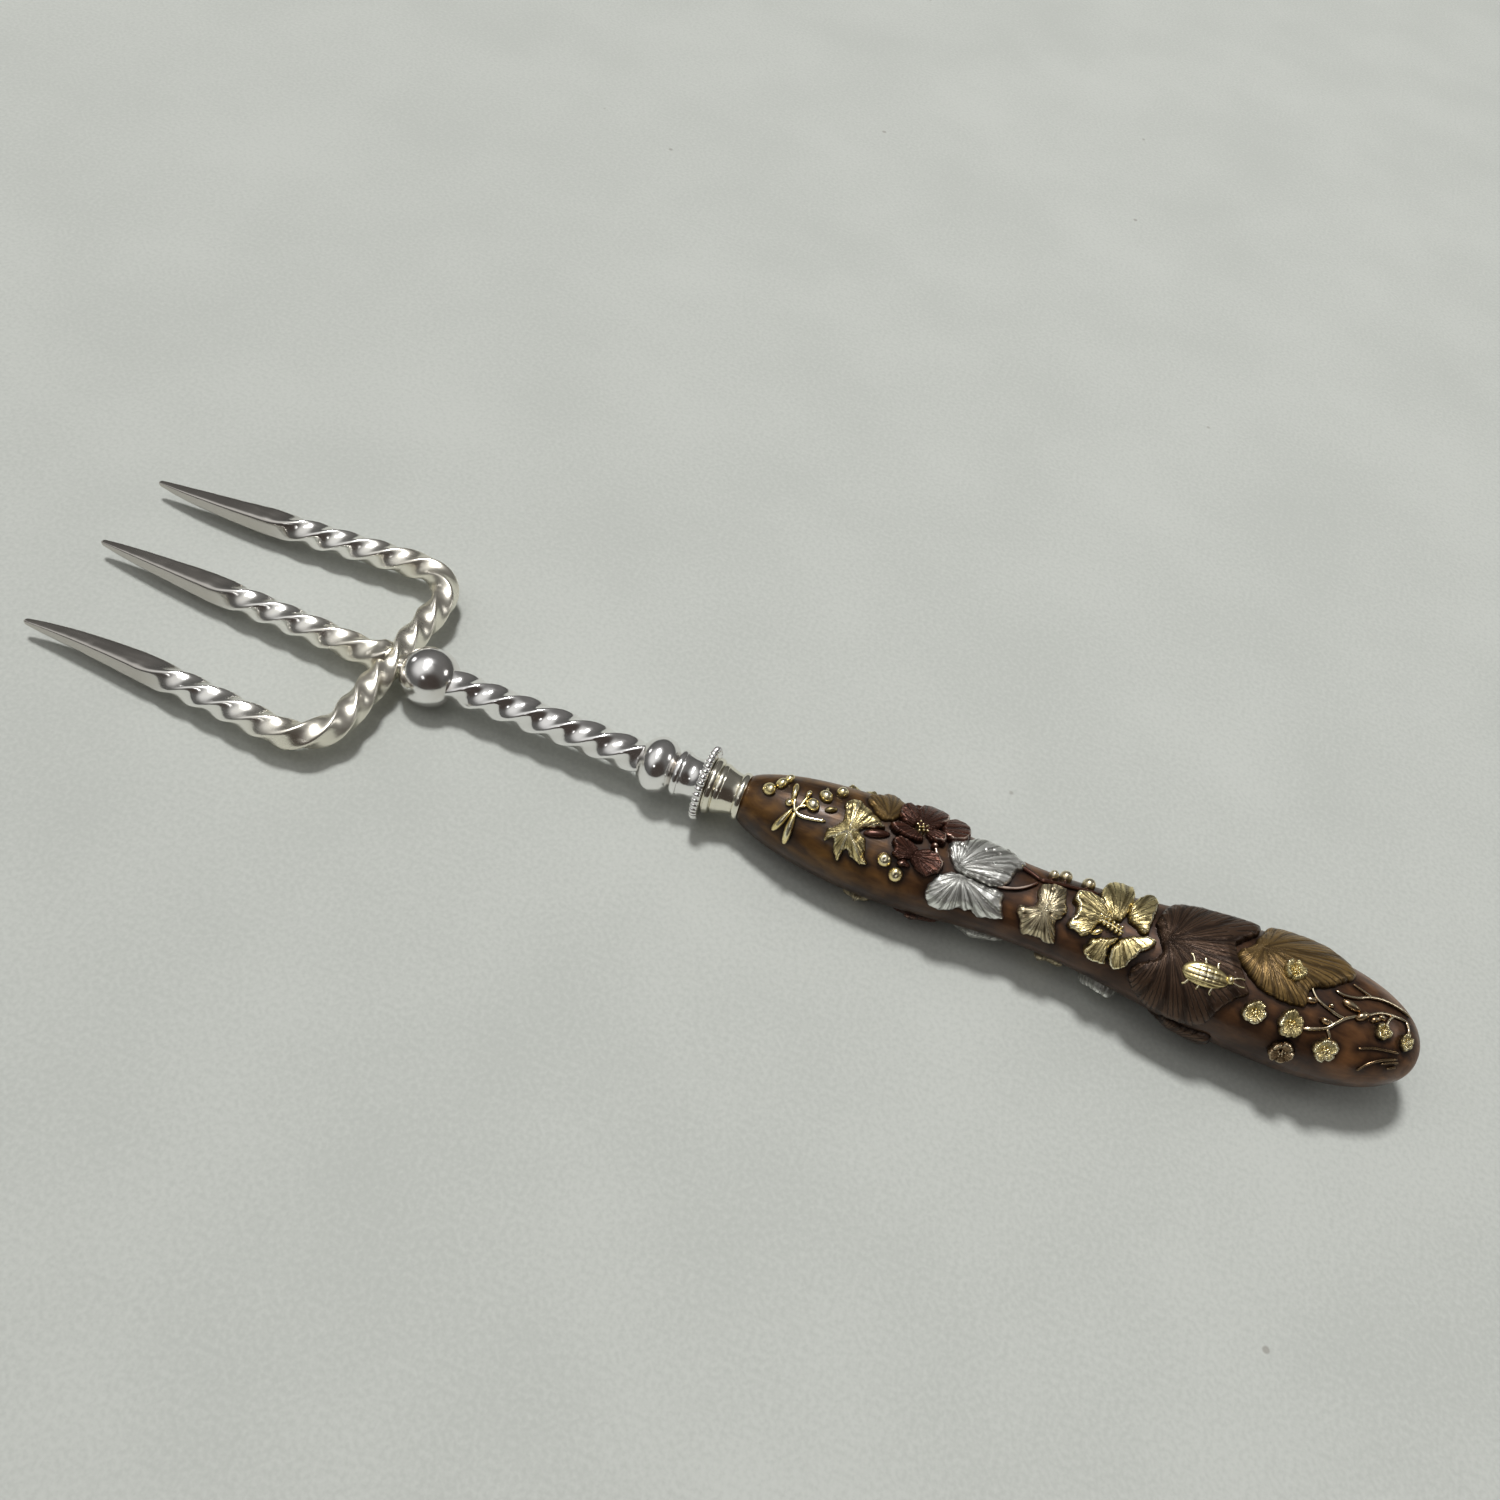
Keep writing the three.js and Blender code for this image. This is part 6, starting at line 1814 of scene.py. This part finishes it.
def handle_shell(name, node, start_round):
    """Half of the hollow handle: its outer face, its inner face, and the edges that join them."""
    rows, count = SHELL_ROWS, SHELL_SIDES
    body = int(rows * BODY_SHARE)
    rounding = np.sin(np.pi / 2 * np.linspace(0, 1, rows - body))
    places = np.r_[np.linspace(neck, bulb, body, endpoint=False), bulb + BUTT_LENGTH * rounding]
    cavity = np.interp(places, [neck, bulb, butt], [neck, bulb, butt - BUTT_WALL])
    around = start_round + np.linspace(0, 180, count)
    outer = handle_point(places[:-1, None], around[None], 0.0).reshape(-1, 3)
    inner = handle_point(cavity[:-1, None], around[None], -SHELL_WALL).reshape(-1, 3)
    tip_out, tip_in = np.array([[butt, 0, 0]]), np.array([[butt - BUTT_WALL, 0, 0]])
    ring_rows = rows - 1
    first_in = ring_rows * count
    pole_out = 2 * ring_rows * count
    pole_in = pole_out + 1
    faces = []
    for row in range(ring_rows - 1):
        for i in range(count - 1):
            here = row * count + i
            faces.append((here, here + 1, here + count + 1, here + count))
            deep = first_in + here
            faces.append((deep, deep + count, deep + count + 1, deep + 1))
        for i in (0, count - 1):
            here = row * count + i
            faces.append((here, here + count, first_in + here + count, first_in + here))
    last = (ring_rows - 1) * count
    for i in range(count - 1):
        faces.append((last + i, last + i + 1, pole_out))
        faces.append((first_in + last + i + 1, first_in + last + i, pole_in))
        faces.append((i + 1, i, first_in + i, first_in + i + 1))
    for i in (0, count - 1):
        faces.append((last + i, pole_out, pole_in, first_in + last + i))
    # The hollow attribute carries painted shade, and the patina beside the ornament, into the bronze
    ground = painted_ground_shade(places[:-1, None] - neck, around[None])
    hollow = np.r_[ground, np.ones(len(inner)), 0.0, 1.0]
    mesh = closed_mesh(name, np.vstack([outer, inner, tip_out, tip_in]), faces, {"hollow": hollow})
    mesh.set_sharp_from_angle(angle=SHARP_ANGLE)
    return finish_piece(name, mesh, BRONZE, node)


handle_shell("patinated_and_shaded_upper_shell", "handle_upper_shell", -90.0)
handle_shell("patinated_and_shaded_lower_shell", "handle_lower_shell", 90.0)

# What stays hidden inside the handle
for node, material in (("tang", BRASS), ("handle_filling", CEMENT)):
    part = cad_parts[node]
    part.data.materials.clear()
    part.data.materials.append(material)


# Stage: a pale paper floor, soft panels and the photograph's viewpoint

FLOOR_HALF = 2.5
# Where the room is dark and where it is bright, as directions from the fork
DARK_SIDE = (0.38, -0.82, 0.42)
BRIGHT_PATCH = (-0.40, -0.22, 0.89)
PANEL_DISTANCE = 1.6
# The viewpoint fitted to the photograph, in metres
CAMERA_PLACE = Vector((0.0196165, -0.1261499, 0.1798562))
CAMERA_AIM = Vector((0.0016774, 0.0066940, 0.008))
CAMERA_ROLL = math.radians(15.794)
CAMERA_LENS = 34.747


def paper_floor():
    """Pale paper with faint fibres, clouds and specks, and painted shade that makes it a little darker
    towards the tines.
    """
    mesh = bpy.data.meshes.new("paper_floor")
    corners = [(x * FLOOR_HALF, y * FLOOR_HALF, 0) for x, y in ((-1, -1), (1, -1), (1, 1), (-1, 1))]
    mesh.from_pydata(corners, [], [(0, 1, 2, 3)])
    material, tree, shader, place = new_material("pale_paper", Roughness=0.9, Specular_IOR_Level=0.2)
    fibre = noise(tree, place["Object"], 1500.0, 4.0)
    cloud = noise(tree, place["Object"], 30.0, 9.0)
    mottle = weighted(tree, (fibre, 0.6), (cloud, 0.4))
    tint = mixed(tree, span(tree, mottle, 0.34, 0.66), (0.522, 0.540, 0.503), (0.598, 0.615, 0.575))
    along = along_fork(tree, place)
    # Painted shade: the floor darkens a little towards the tines
    shaded = span(tree, along, -0.16, 0.12, 0.16, 0.0)
    tint = mixed(tree, shaded, tint, (0.30, 0.31, 0.29))
    spread = {"Vector": place["Object"], "Scale": 46.0}
    specks = add(tree, "ShaderNodeTexVoronoi", spread).outputs["Distance"]
    tint = mixed(tree, span(tree, specks, 0.03, 0.015, 0.0, 0.5), tint, (0.22, 0.19, 0.16))
    tree.links.new(tint, shader.inputs["Base Color"])
    relief(tree, shader, fibre, 0.05, 0.05)
    mesh.materials.append(material)
    floor = placed_object("paper_floor", mesh)


def panel(name, azimuth, elevation, size, power):
    """A soft panel lamp that faces the fork."""
    lamp = bpy.data.lights.new(name, "AREA")
    lamp.shape = "ELLIPSE"
    lamp.size, lamp.size_y = size
    lamp.energy = power
    turn, rise = math.radians(azimuth), math.radians(elevation)
    way = Vector((math.cos(rise) * math.cos(turn), math.cos(rise) * math.sin(turn), math.sin(rise)))
    lamp_object = placed_object(name, lamp)
    lamp_object.location = way * PANEL_DISTANCE
    lamp_object.rotation_euler = way.to_track_quat("Z", "Y").to_euler()


def room_light():
    """A grey room with one dark side and a bright patch overhead, which the silver reflects."""
    world = bpy.data.worlds.new("room")
    world.use_nodes = True
    tree = world.node_tree
    way = add(tree, "ShaderNodeTexCoord").outputs["Generated"]
    height = add(tree, "ShaderNodeSeparateXYZ", {0: way}).outputs["Z"]
    colour = mixed(tree, span(tree, height, 0.0, 0.7), (0.090, 0.090, 0.087), (0.142, 0.139, 0.135))
    facing = add(tree, "ShaderNodeVectorMath", {0: way, 1: DARK_SIDE}, operation="DOT_PRODUCT")
    shade = span(tree, facing.outputs["Value"], 0.62, 0.90)
    above = add(tree, "ShaderNodeVectorMath", {0: way, 1: BRIGHT_PATCH}, operation="DOT_PRODUCT")
    glow = span(tree, above.outputs["Value"], 0.70, 0.99)
    colour = mixed(tree, glow, colour, (0.74, 0.74, 0.73))
    background = tree.nodes["Background"].inputs
    tree.links.new(mixed(tree, shade, colour, (0.055, 0.045, 0.04)), background["Color"])
    background["Strength"].default_value = 1.0
    bpy.context.scene.world = world


def camera():
    """The photograph's viewpoint, with its roll."""
    place = CAMERA_PLACE
    ahead = (CAMERA_AIM - place).normalized()
    level = ahead.cross(Vector((0, 0, 1))).normalized()
    upright = level.cross(ahead)
    right = level * math.cos(CAMERA_ROLL) + upright * math.sin(CAMERA_ROLL)
    up = right.cross(ahead)
    data = bpy.data.cameras.new("camera")
    data.sensor_width = 36.0
    data.lens = CAMERA_LENS
    data.clip_start = 0.01
    view = placed_object("camera", data)
    view.matrix_world = Matrix((
        (right.x, up.x, -ahead.x, place.x),
        (right.y, up.y, -ahead.y, place.y),
        (right.z, up.z, -ahead.z, place.z),
        (0, 0, 0, 1),
    ))
    bpy.context.scene.camera = view


paper_floor()
room_light()
panel("key_lamp", 134.0, 70.0, (0.27, 0.27), 17.4)
panel("overhead_panel", -150.0, 74.0, (0.5, 0.35), 0.8)
panel("butt_panel", 22.0, 32.0, (0.5, 0.35), 1.2)
panel("near_panel", -101.0, 42.0, (0.22, 0.22), 0.35)
panel("tine_panel", 163.0, 22.0, (0.3, 0.3), 0.5)
camera()
bpy.context.scene.view_settings.view_transform = "Standard"

bpy.context.view_layer.update()
